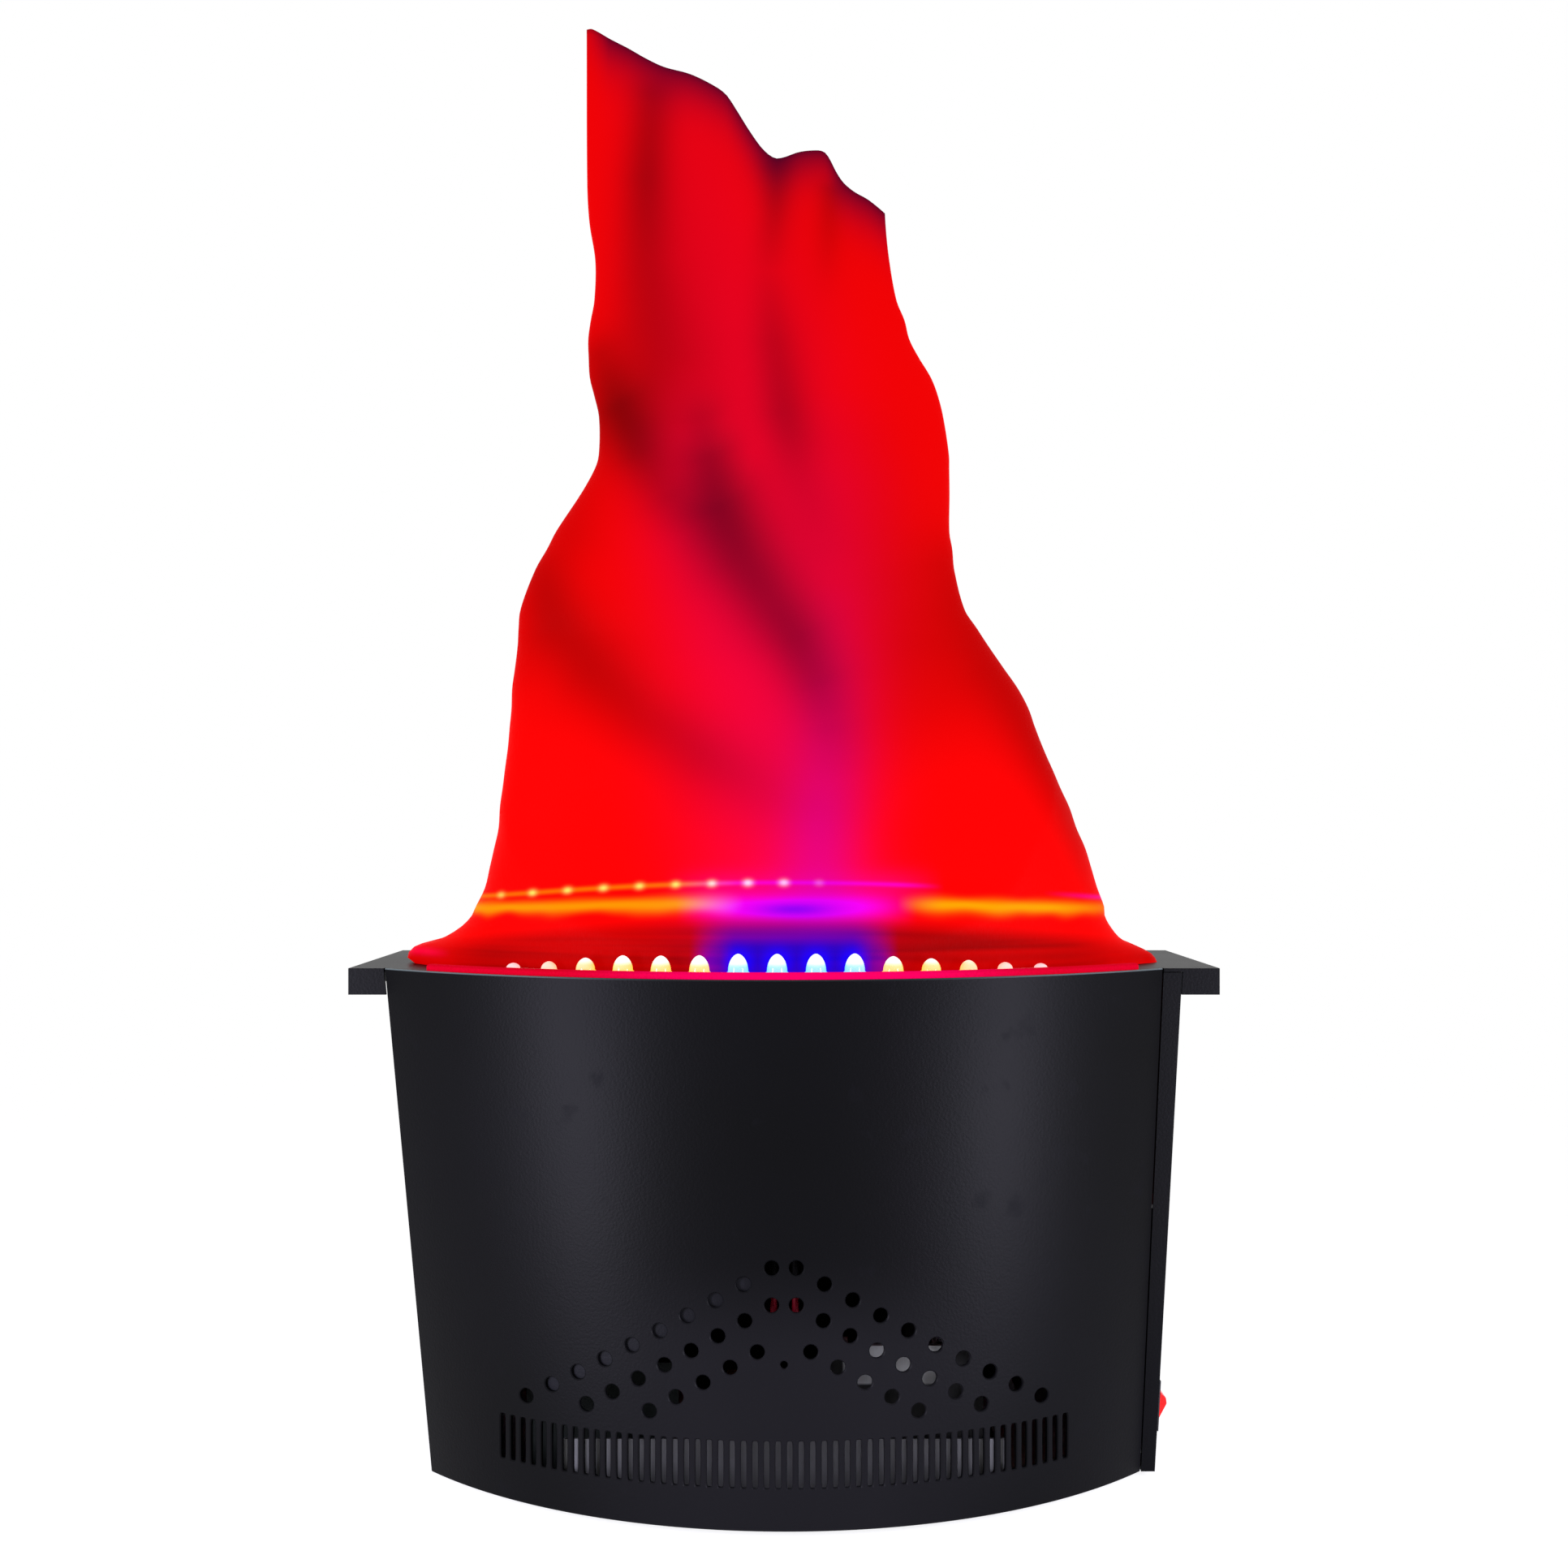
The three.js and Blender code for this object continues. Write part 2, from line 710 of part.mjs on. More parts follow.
function rearLightBracket() {
  const front = rearLampY - rearBoardWidth / 2;
  const back = rearLampY + rearBoardWidth / 2;
  const shelf = slab([
    new THREE.Vector2(-rearBoardHalf, front), new THREE.Vector2(rearBoardHalf, front),
    new THREE.Vector2(rearBoardHalf, back), new THREE.Vector2(bracketWebHalf, bracketY),
    new THREE.Vector2(-bracketWebHalf, bracketY), new THREE.Vector2(-rearBoardHalf, back),
  ], [], bracketShelfZ, bracketSheet);
  const web = box(
    2 * bracketWebHalf, bracketSheet, bracketShelfZ + bracketSheet - rimZ,
    0, bracketY - bracketSheet / 2, rimZ,
  );
  return joined(shelf, web);
}

function rearLightBoard() {
  const base = bracketShelfZ + bracketSheet;
  const board = box(2 * rearBoardHalf, rearBoardWidth, boardThick, 0, rearLampY, base);
  const lamps = [];
  for (let i = 0; i < rearLampCount; i += 1) {
    const x = (i - (rearLampCount - 1) / 2) * rearLampPitch;
    const height = rearLampHeight + boardThick / 2;
    lamps.push(lampAt(x, rearLampY, base + boardThick / 2, rearLampRadius, height));
  }
  return joined(board, ...lamps);
}

add('rear_light_bracket', rearLightBracket(), finishes.blackPaint);
add('rear_light_board', rearLightBoard(), finishes.whiteBoard);

// Silk flame: a sewn bag of two flame-shaped cloths, open at the hem and closed along the ragged top
function foldDepth(across, up) {
  let depth = 0;
  for (const { from, to, half, deep } of foldShares) {
    const along = (up - from[1]) / (to[1] - from[1]);
    const line = mix(from[0], to[0], Math.min(Math.max(along, 0), 1));
    const past = Math.max(-along, along - 1, 0) * Math.abs(to[1] - from[1]);
    const off = ((across - line) / half) ** 2 + (past / half) ** 2;
    depth += deep * boxDepth * Math.exp(-off);
  }
  return depth;
}

// A point of the flame: row 0 is the hem on the deck, and row 1 the top of its upright band
function flamePoint(index, row, inset) {
  const column = columnAt(index);
  if (row === 0) {
    const foot = openingPoint(column, inset);
    return new THREE.Vector3(foot.x, foot.y, rimZ);
  }
  const rise = ((row - 1) / (flameRows - 1)) ** risePower;
  const top = valueAt(topShares, 'across', column.across, 'height') * flameHeight - inset;
  const z = rimZ + hemHeight + rise * (top - hemHeight);
  const up = (z - rimZ - hemHeight) / (flameHeight - hemHeight);
  const half = (side) => valueAt(flameShares, 'height', up, side) * footHalf;
  const [left, right] = [half('left') + inset, half('right') - inset];
  const x = mix(left, right, column.across);
  const settled = Math.min(up / settleShare, 1);
  const hem = frontAt(Math.min(Math.max(x, -footHalf), footHalf), rimZ, silkInset + inset);
  const depthAt = (side) => chordY + valueAt(flameShares, 'height', up, side) * footDepth;
  const standing = Math.max(depthAt('front') + inset, hem);
  const rear = depthAt('rear') - inset;
  const pinch = rise ** slitPower;
  const front = mix(mix(hem, standing, settled), (standing + rear - topSlit) / 2 + inset, pinch);
  const back = mix(rear, (standing + rear + topSlit) / 2 - inset, pinch);
  const squareness = mix(footSquareness, topSquareness, Math.min(up / squareShare, 1));
  const point = sectionPoint(column, left, right, front, back, squareness);
  const inward = foldDepth(column.across, up) * (1 - pinch) * Math.sin(Math.PI * column.across) ** foldEase;
  return new THREE.Vector3(point.x, point.y + (column.front ? inward : -inward), z);
}

function silkFlame() {
  const points = [];
  const faces = [];
  const quad = (a, b, c, d) => faces.push(a, b, c, a, c, d);
  const skins = [0, silk].map((inset) => {
    const first = points.length;
    for (let row = 0; row <= flameRows; row += 1) {
      for (let i = 0; i < flameColumns; i += 1) points.push(flamePoint(i, row, inset));
    }
    return first;
  });
  for (const [side, first] of skins.entries()) {
    const at = (row, i) => first + row * flameColumns + ((i + flameColumns) % flameColumns);
    for (let row = 0; row < flameRows; row += 1) {
      for (let i = 0; i < flameColumns; i += 1) {
        const [a, b, c, d] = [at(row, i), at(row, i + 1), at(row + 1, i + 1), at(row + 1, i)];
        if (side === 0) quad(a, b, c, d);
        else quad(d, c, b, a);
      }
    }
    for (let i = 0; i < flameColumns / 2; i += 1) {
      const [a, b] = [at(flameRows, i), at(flameRows, i + 1)];
      const [c, d] = [at(flameRows, -i - 1), at(flameRows, -i)];
      const cap = side === 0 ? [a, b, c, d] : [d, c, b, a];
      if (i === 0) faces.push(...(side === 0 ? [a, b, c] : [c, b, a]));
      else if (i === flameColumns / 2 - 1) faces.push(...(side === 0 ? [a, b, d] : [d, b, a]));
      else quad(...cap);
    }
  }
  for (let i = 0; i < flameColumns; i += 1) {
    const next = (i + 1) % flameColumns;
    quad(skins[0] + next, skins[0] + i, skins[1] + i, skins[1] + next);
  }
  return facingOut(points, faces);
}

add('silk_flame', silkFlame(), finishes.redSilk);

const grommetPlaces = [[fanLeadX, chordY + fanLeadSetback], [lightLeadX, chordY + lightLeadSetback]];

// Fan shelf: a plate across the box that carries the fan over its round inlet
function fanShelf() {
  const plate = loft([
    raised(insideAt(shelfHeight, fit), shelfHeight), raised(insideAt(shelfHeight, fit), shelfTop),
  ]);
  const holes = [rod(fanBore / 2, steel + 2 * overrun, 0, fanY, shelfHeight - overrun, ductSteps)];
  for (const [x, y] of fanCorners()) {
    holes.push(rod(fanHole / 2, steel + 2 * overrun, x, fanY + y, shelfHeight - overrun, smallSteps));
  }
  for (const [x, y] of grommetPlaces) {
    holes.push(rod(grommetHole, steel + 2 * overrun, x, y, shelfHeight - overrun, smallSteps));
  }
  return cut(plate, ...holes);
}

function fanCorners() {
  const half = fanHolePitch / 2;
  return [[-half, -half], [half, -half], [half, half], [-half, half]];
}

add('fan_shelf', fanShelf(), finishes.zinc);

const fan = new THREE.Group();
fan.position.set(0, fanY, shelfTop);
light.add(fan);

// Fan frame: square housing, round duct, motor seat on four struts and the bearing tube
function fanFrame() {
  const duct = rod(fanBore / 2, fanDepth + 2 * overrun, 0, 0, -overrun, ductSteps);
  const holes = fanCorners().map(([x, y]) => (
    rod(fanHole / 2, fanDepth + 2 * overrun, x, y, -overrun, smallSteps)
  ));
  const housing = cut(box(fanSide, fanSide, fanDepth), duct, ...holes);
  const span = fanBore + steel;
  const struts = [box(span, fanStrut, fanStrutHeight), box(fanStrut, span, fanStrutHeight)];
  const seat = rod(fanMotorRadius, fanMotorHeight);
  const tube = rod(bearingHousing, fanMotorHeight + bearingLength);
  const bore = rod(bearingRadius + bearingPlay, bearingLength + overrun, 0, 0, fanMotorHeight);
  return cut(joined(housing, ...struts, seat, tube), bore);
}

function ring(outer, inner, height, base, sides = roundSteps) {
  return slab(circleOutline(outer, sides), [circleOutline(inner, sides)], base, height);
}

function circleOutline(radius, sides) {
  const outline = [];
  for (let i = 0; i < sides; i += 1) {
    const angle = (i / sides) * 2 * Math.PI;
    outline.push(new THREE.Vector2(radius * Math.cos(angle), radius * Math.sin(angle)));
  }
  return outline;
}

// Impeller: a cup on a shaft with swept blades
function fanImpeller() {
  const top = fanRise + fanCup;
  const cup = turned([
    [0, top], [fanHub / 2, top], [fanHub / 2, fanRise], [fanHub / 2 - fanCupWall, fanRise],
    [fanHub / 2 - fanCupWall, top - fanCupWall], [shaftRadius, top - fanCupWall],
    [shaftRadius, fanMotorHeight + fit], [0, fanMotorHeight + fit],
  ].reverse());
  const blades = [];
  const length = (fanTip - fanHub) / 2 + fanCupWall;
  for (let i = 0; i < fanBlades; i += 1) {
    blades.push(new THREE.BoxGeometry(length, bladeThick, bladeChord)
      .rotateX(THREE.MathUtils.degToRad(bladePitch))
      .translate(fanHub / 2 - fanCupWall / 2 + length / 2, 0, fanRise + fanCup / 2)
      .rotateZ((i / fanBlades) * 2 * Math.PI));
  }
  const sweep = rod(fanTip / 2, fanDepth, 0, 0, 0, ductSteps);
  const hollow = rod(fanHub / 2 - fanCupWall, fanCup - fanCupWall, 0, 0, fanRise);
  const vanes = blades.map(solid).reduce((whole, next) => whole.add(next))
    .intersect(solid(sweep)).subtract(solid(hollow));
  return shaped(vanes.add(solid(cup)));
}

add('fan_frame', fanFrame(), finishes.blackPlastic, fan);
add('fan_impeller', fanImpeller(), finishes.blackPlastic, fan);
add('fan_bearing', ring(bearingRadius, shaftRadius + shaftPlay, bearingLength - fit, fanMotorHeight + fit),
  finishes.steelBright, fan);
add('fan_stator', ring(statorRadius, bearingHousing + fit, statorHeight, fanMotorHeight + fit),
  finishes.zinc, fan);

// Wire guard over the fan with an ear at each screw
function fanGuard() {
  const base = fanDepth + fit;
  const wires = [];
  for (let i = 1; i <= guardRings; i += 1) {
    const radius = (i / guardRings) * (fanBore / 2 - guardWire);
    wires.push(ring(radius + guardWire / 2, radius - guardWire / 2, guardWire, base));
  }
  const bar = fanHolePitch * Math.SQRT2;
  for (const side of [-1, 1]) {
    wires.push(box(bar, guardWire, guardWire, 0, 0, base).rotateZ(side * Math.PI / 4));
  }
  for (const [x, y] of fanCorners()) wires.push(rod(guardEar, guardWire, x, y, base, smallSteps));
  const holes = fanCorners().map(([x, y]) => (
    rod(fanHole / 2, guardWire + 2 * overrun, x, y, base - overrun, smallSteps)
  ));
  return cut(joined(...wires), ...holes);
}

add('fan_guard', fanGuard(), finishes.steelBright, fan);

function screwProfile(radius, length, head, headHeight) {
  const shank = length > 0 ? [[0, -length], [radius, -length], [radius, 0]] : [[0, 0]];
  return [...shank, [head, 0], [head, headHeight / 2], [head / 2, headHeight], [0, headHeight]];
}

const screwSeat = fanDepth + fit + guardWire + fit;
for (const [i, [x, y]] of fanCorners().entries()) {
  const length = screwSeat + steel + screwTail;
  add(`fan_screw_${i + 1}`, turned(
    screwProfile(screwRadius, length, screwHead, screwHeadHeight), smallSteps,
  ), finishes.zinc, fan).position.set(x, y, screwSeat);
}

// Rocker switch in the leaning right wall: local X points out of the wall
const rocker = new THREE.Group();
rocker.position.copy(switchPlace);
rocker.rotation.y = lean;
light.add(rocker);

function switchBody() {
  const body = new THREE.BoxGeometry(switchDepth + fit, switchWide, switchLong)
    .translate((fit - switchDepth) / 2, 0, 0);
  const bezel = new THREE.BoxGeometry(bezelThick, bezelWide, bezelLong)
    .translate(fit + bezelThick / 2, 0, 0);
  const tabs = [-1, 0, 1].map((row) => new THREE.BoxGeometry(tabLong + fit, tabWide, tabThick)
    .translate(-switchDepth - tabLong / 2 + fit / 2, 0, row * tabPitch));
  const depth = rockerRoom + fit + bezelThick + overrun;
  const room = new THREE.BoxGeometry(depth, rockerWide + 2 * rockerPlay, rockerLong + 2 * rockerPlay)
    .translate(-rockerRoom + depth / 2, 0, 0);
  const bore = new THREE.CylinderGeometry(
    rockerPin + fit, rockerPin + fit, rockerWide + 2 * (rockerPlay + rockerPinReach + fit), smallSteps,
  ).translate(-rockerPivot, 0, 0);
  return cut(joined(body, bezel, ...tabs), room, bore);
}

function switchRocker() {
  const half = rockerLong / 2;
  const profile = [
    [-half, -rockerLip], [-half + rockerPlay, rockerLip], [-rockerLip, rockerProud],
    [rockerLip, rockerProud], [half - rockerPlay, rockerLip], [half, -rockerLip],
    [rockerFoot, -rockerDrop], [-rockerFoot, -rockerDrop],
  ].map(([along, out]) => new THREE.Vector2(out, along));
  const body = slab(profile, [], -rockerWide / 2, rockerWide).rotateX(Math.PI / 2);
  const pin = new THREE.CylinderGeometry(
    rockerPin, rockerPin, rockerWide + 2 * (rockerPlay + rockerPinReach), smallSteps,
  ).translate(-rockerPivot, 0, 0);
  return joined(body, pin).translate(rockerPivot, 0, 0);
}

add('switch_body', switchBody(), finishes.blackPlastic, rocker);
const rockerKey = add('switch_rocker', switchRocker(), finishes.redPlastic, rocker);
rockerKey.position.set(-rockerPivot, 0, 0);
rockerKey.rotation.y = -THREE.MathUtils.degToRad(rockerTilt);

// Mains inlet in the back wall, with its three pins and its two screws
function chamfered(width, height, chamfer) {
  const [x, y] = [width / 2, height / 2];
  return [[-x, y], [-x, -y + chamfer], [-x + chamfer, -y], [x - chamfer, -y], [x, -y + chamfer], [x, y]]
    .map((point) => new THREE.Vector2(...point));
}

// A slab that stands across the back wall, from one distance behind its outer face to another
function acrossWall(outline, from, to) {
  return slab(outline, [], 0, to - from).rotateX(Math.PI / 2)
    .translate(inletX, backY + to, inletHeight);
}

const inletPins = [[-inletPinSpread, -1], [inletPinSpread, -1], [0, 1]]
  .map(([x, row]) => [x, (row * inletPinWide) / 2]);

function mainsInlet() {
  const flange = box(inletWide, inletFlange, inletTall, inletX, backY + inletFlange / 2,
    inletHeight - inletTall / 2);
  const body = acrossWall(chamfered(inletBodyWide, inletBodyTall, inletChamfer), -inletBodyDepth, steel);
  const cavityBack = inletFlange - inletCavityDepth;
  const cavity = acrossWall(
    chamfered(inletCavityWide, inletCavityTall, inletChamfer), cavityBack, inletFlange + overrun,
  );
  const pins = inletPins.map(([x, z]) => box(
    inletPinThick, inletPinLong + inletBodyDepth + cavityBack, inletPinWide,
    inletX + x, backY + (cavityBack + inletPinLong - inletBodyDepth) / 2,
    inletHeight + z - inletPinWide / 2,
  ));
  const tabs = inletPins.map(([x, z]) => box(
    tabThick, inletTabLong + fit, tabWide,
    inletX + x, backY - inletBodyDepth - (inletTabLong - fit) / 2, inletHeight + z - tabWide / 2,
  ));
  const sinks = [-1, 1].flatMap((side) => {
    const x = inletX + (side * inletScrewPitch) / 2;
    const hole = new THREE.CylinderGeometry(
      inletScrewRadius + fit, inletScrewRadius + fit, inletFlange + 2 * overrun, smallSteps,
    );
    const seat = new THREE.CylinderGeometry(
      inletScrewHead + fit, inletScrewHead + fit, inletFlange, smallSteps,
    );
    return [
      hole.translate(x, backY + inletFlange / 2, inletHeight),
      seat.translate(x, backY + inletFlange, inletHeight),
    ];
  });
  return joined(cut(joined(flange, body), cavity, ...sinks), ...pins, ...tabs);
}

add('mains_inlet', mainsInlet(), finishes.blackPlastic);
for (const side of [-1, 1]) {
  const screw = turned(
    screwProfile(inletScrewRadius, inletScrewLong, inletScrewHead, inletFlange / 2 - fit), smallSteps,
  ).rotateX(-Math.PI / 2);
  add(`inlet_screw_${side < 0 ? 'left' : 'right'}`, screw, finishes.zinc)
    .position.set(inletX + (side * inletScrewPitch) / 2, backY + inletFlange / 2 + fit, inletHeight);
}

// Power supply board on four standoffs, with its transformer, heat sink, capacitors and terminals
const supplyY = chordY + supplySetback;
const supplyBase = floorTop + standoff;
const supplyTop = supplyBase + boardThick;
let standoffNumber = 0;
for (const sideX of [-1, 1]) {
  for (const sideY of [-1, 1]) {
    standoffNumber += 1;
    add(`standoff_${standoffNumber}`, rod(standoffRadius, standoff, 0, 0, 0, smallSteps), finishes.zinc)
      .position.set(
        supplyX + sideX * (supplyLong / 2 - standoffInset),
        supplyY + sideY * (supplyWide / 2 - standoffInset), floorTop,
      );
  }
}
add('supply_board', box(supplyLong, supplyWide, boardThick, supplyX, supplyY, supplyBase),
  finishes.greenBoard);
const { x: coreX, y: coreY, z: coreZ } = transformerSize;
const core = add('transformer', joined(
  box(coreX, coreY * coreShare, coreZ), box(coreX * windingShare, coreY, coreZ * windingShare, 0, 0,
    coreZ * (1 - windingShare) / 2),
), finishes.yellowTape);
core.position.set(supplyX - supplyLong / 2 + coreX / 2 + standoffInset,
  supplyY + (supplyWide - coreY) / 2 - transformerInset, supplyTop);

function heatSink() {
  const plate = box(sinkLong, sinkPlate, sinkTall, 0, (sinkPlate - sinkDeep) / 2);
  const fins = [];
  for (let i = 0; i < sinkFins; i += 1) {
    const x = mix(-1, 1, i / (sinkFins - 1)) * (sinkLong - sinkFin) / 2;
    fins.push(box(sinkFin, sinkDeep, sinkTall, x));
  }
  return joined(plate, ...fins);
}

add('heat_sink', heatSink(), finishes.aluminium).position.set(
  supplyX + (supplyLong - sinkLong) / 2 - sinkInset, supplyY - (supplyWide - sinkDeep) / 2, supplyTop,
);
for (let i = 0; i < capacitorCount; i += 1) {
  const x = supplyX + i * (2 * capacitorRadius + standoffInset);
  add(`capacitor_${i + 1}`, rod(capacitorRadius, capacitorHeight), finishes.blackPlastic)
    .position.set(x, supplyY + standoffInset, supplyTop);
}
const terminal = box(terminalSize.x, terminalSize.y, terminalSize.z);
add('terminal_block', terminal, finishes.greyPlastic).position.set(
  supplyX + supplyLong / 2 - terminalSize.x / 2 - standoffInset,
  supplyY + supplyWide / 2 - terminalSize.y / 2, supplyTop,
);

// Earth screw on the bottom plate
const earthHead = screwProfile(screwRadius, 0, screwHead, screwHeadHeight);
add('earth_screw', turned(earthHead, smallSteps), finishes.zinc)
  .position.set(earthX, chordY + earthSetback, floorTop);

// Light driver board, upright on a folded bracket
const driverY = chordY + driverSetback;
const driverBase = floorTop + driverBracket + fit;
add('driver_bracket', joined(
  box(driverLong, driverFoot, driverBracket, driverX, driverY + driverFoot / 2, floorTop),
  box(driverLong, driverBracket, driverTall / 2, driverX, driverY + driverBracket / 2, floorTop),
), finishes.zinc);
add('driver_board', joined(
  box(driverLong, boardThick, driverTall, driverX, driverY - fit - boardThick / 2, driverBase),
  box(driverChip.x, driverChip.y, driverChip.z, driverX, driverY - fit - driverChip.y / 2,
    driverBase + driverTall / 2),
), finishes.greenBoard);

// Leads inside the box, each one tube along its route
function lead(points) {
  const curve = new THREE.CatmullRomCurve3(points.map((point) => new THREE.Vector3(...point)));
  const length = curve.getLength();
  const steps = Math.max(Math.round(length / leadStep), points.length);
  return new THREE.ExtrudeGeometry(new THREE.Shape(circleOutline(leadRadius, leadSides)), {
    steps, extrudePath: curve, bevelEnabled: false,
  });
}

// Points of a route, given from the chord of the front, from the back wall or from the rim
function fromChord(route) {
  return route.map(([x, y, z]) => [x, chordY + y, z]);
}

function fromBack(route) {
  return route.map(([x, y, z]) => [x, backY + y, z]);
}

function fromRim(route) {
  return route.map(([x, y, z]) => [x, chordY + y, rimZ + z]);
}

const leads = {
  lead_fan_left: [finishes.redLead, fromChord([
    [-3.6, -23.3, 120], [-3.6, -28.75, 120], [-3.6, -40.75, 118], [-3.6, -43.75, 112],
    [-3.8, -46.75, 100], [-4, -48.75, 88], [-4, -45.75, 70], [-8, -36.75, 46], [-18, -24.75, 28],
    [-24.6, -11.75, 20], [-25, -10.75, 13.6],
  ])],
  lead_fan_right: [finishes.redLead, fromChord([
    [4, -23.3, 120], [4, -28.75, 120], [4, -40.75, 118], [4, -43.75, 112], [4.2, -46.75, 100],
    [4.4, -48.75, 88], [4, -46.75, 70], [2, -38.75, 46], [-4, -24.75, 28], [-9.6, -16.35, 20],
    [-10, -15.75, 13.6],
  ])],
  lead_live: [finishes.brownLead, [
    ...fromBack([
      [77, -24.3, 32], [77, -29.75, 31.8], [84, -36.75, 31], [102, -46.75, 30],
    ]),
    ...fromChord([
      [120, 35.25, 32], [128, 19.25, 35], [131.5, 14.15, 35.4], [135.4, 14, 35.4],
    ]),
  ]],
  lead_switched: [finishes.brownLead, fromChord([
    [135.1, 14, 29.1], [130, 14.15, 28.8], [122, 17.25, 26], [106, 24.25, 20], [92, 26.25, 19],
    [84.3, 26.25, 19],
  ])],
  lead_neutral: [finishes.blueLead, [
    ...fromBack([
      [63, -24.3, 32], [63, -30.75, 31.8],
    ]),
    ...fromChord([
      [64, 57.25, 28], [64, 45.25, 22], [64, 38.25, 19.2], [64, 32.3, 19],
    ]),
  ]],
  lead_earth: [finishes.greyLead, [
    ...fromBack([
      [70, -24.3, 36], [70, -29.75, 36.6], [78, -31.75, 37.5], [92, -30.75, 34],
    ]),
    ...fromChord([
      [101, 71.25, 22], [104.6, 69.75, 13], [105, 68.05, 7.2],
    ]),
  ]],
  lead_front_light: [finishes.greyLead, [
    ...fromRim([
      [-108, -21.15, -0.3], [-108, -21.15, -7], [-107, -16.75, -22],
    ]),
    ...fromChord([
      [-106, 1.25, 160], [-103, 27.25, 134], [-102, 39.25, 120], [-101.9, 41.25, 110],
      [-99, 33.25, 92], [-92, 13.25, 72], [-84, -4.75, 62], [-82, -10.75, 57], [-82, -11.15, 52.3],
    ]),
  ]],
  lead_rear_light: [finishes.greyLead, [
    ...fromRim([
      [-112, 56.05, 23.9], [-112, 55.85, 14], [-110, 54.25, -7],
    ]),
    ...fromChord([
      [-106, 51.25, 170], [-100, 45.25, 134], [-98.2, 42.25, 120], [-98.1, 41.25, 110],
      [-94, 31.25, 90], [-82, 11.25, 72], [-70, -5.75, 61], [-68, -10.75, 57], [-68, -11.15, 52.3],
    ]),
  ]],
  lead_supply: [finishes.greyLead, fromChord([
    [-20, -22.75, 13.4], [-20, -23.35, 18], [-25, -23.75, 20], [-33, -19.75, 17],
    [-38, -12.75, 14.4], [-42.7, -11.15, 14],
  ])],
};
for (const [name, [finish, route]] of Object.entries(leads)) add(name, lead(route), finish);

export default light;
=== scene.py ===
import math

import bmesh
import bpy
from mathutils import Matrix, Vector, noise
from mathutils.geometry import delaunay_2d_cdt


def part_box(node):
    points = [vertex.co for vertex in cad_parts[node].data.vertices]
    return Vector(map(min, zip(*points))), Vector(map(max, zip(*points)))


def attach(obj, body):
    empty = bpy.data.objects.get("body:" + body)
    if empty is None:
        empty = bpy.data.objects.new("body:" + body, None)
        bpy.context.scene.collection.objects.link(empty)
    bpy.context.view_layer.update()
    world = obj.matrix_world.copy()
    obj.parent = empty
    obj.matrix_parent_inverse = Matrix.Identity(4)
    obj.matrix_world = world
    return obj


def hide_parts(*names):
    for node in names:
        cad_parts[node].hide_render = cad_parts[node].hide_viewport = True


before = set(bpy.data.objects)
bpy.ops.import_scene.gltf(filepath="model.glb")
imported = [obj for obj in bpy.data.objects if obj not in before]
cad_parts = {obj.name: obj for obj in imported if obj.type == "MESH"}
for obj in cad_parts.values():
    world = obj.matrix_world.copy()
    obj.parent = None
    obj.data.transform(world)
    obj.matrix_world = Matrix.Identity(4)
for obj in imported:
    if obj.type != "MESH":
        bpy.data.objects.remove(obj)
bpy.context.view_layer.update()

# Camera, floor and studio
# The camera stands level in front of the light, at the height of the lower flame, and its
# shift lowers the horizon a little. Two tall soft boxes make the two soft bands on the bowed front.
scene = bpy.context.scene
scene.view_settings.view_transform = "Standard"

photo_side, horizon_drop = 1932, 49
film_width, lens_length = 36, 38.7
camera_distance, camera_height = 0.72125, 0.272
camera = bpy.data.objects.new("camera", bpy.data.cameras.new("camera"))
camera.data.sensor_width = film_width
camera.data.lens = lens_length
camera.data.shift_y = horizon_drop / photo_side
camera.location = (0, -camera_distance, camera_height)
camera.rotation_euler = (math.radians(90), 0, 0)
scene.collection.objects.link(camera)
scene.camera = camera


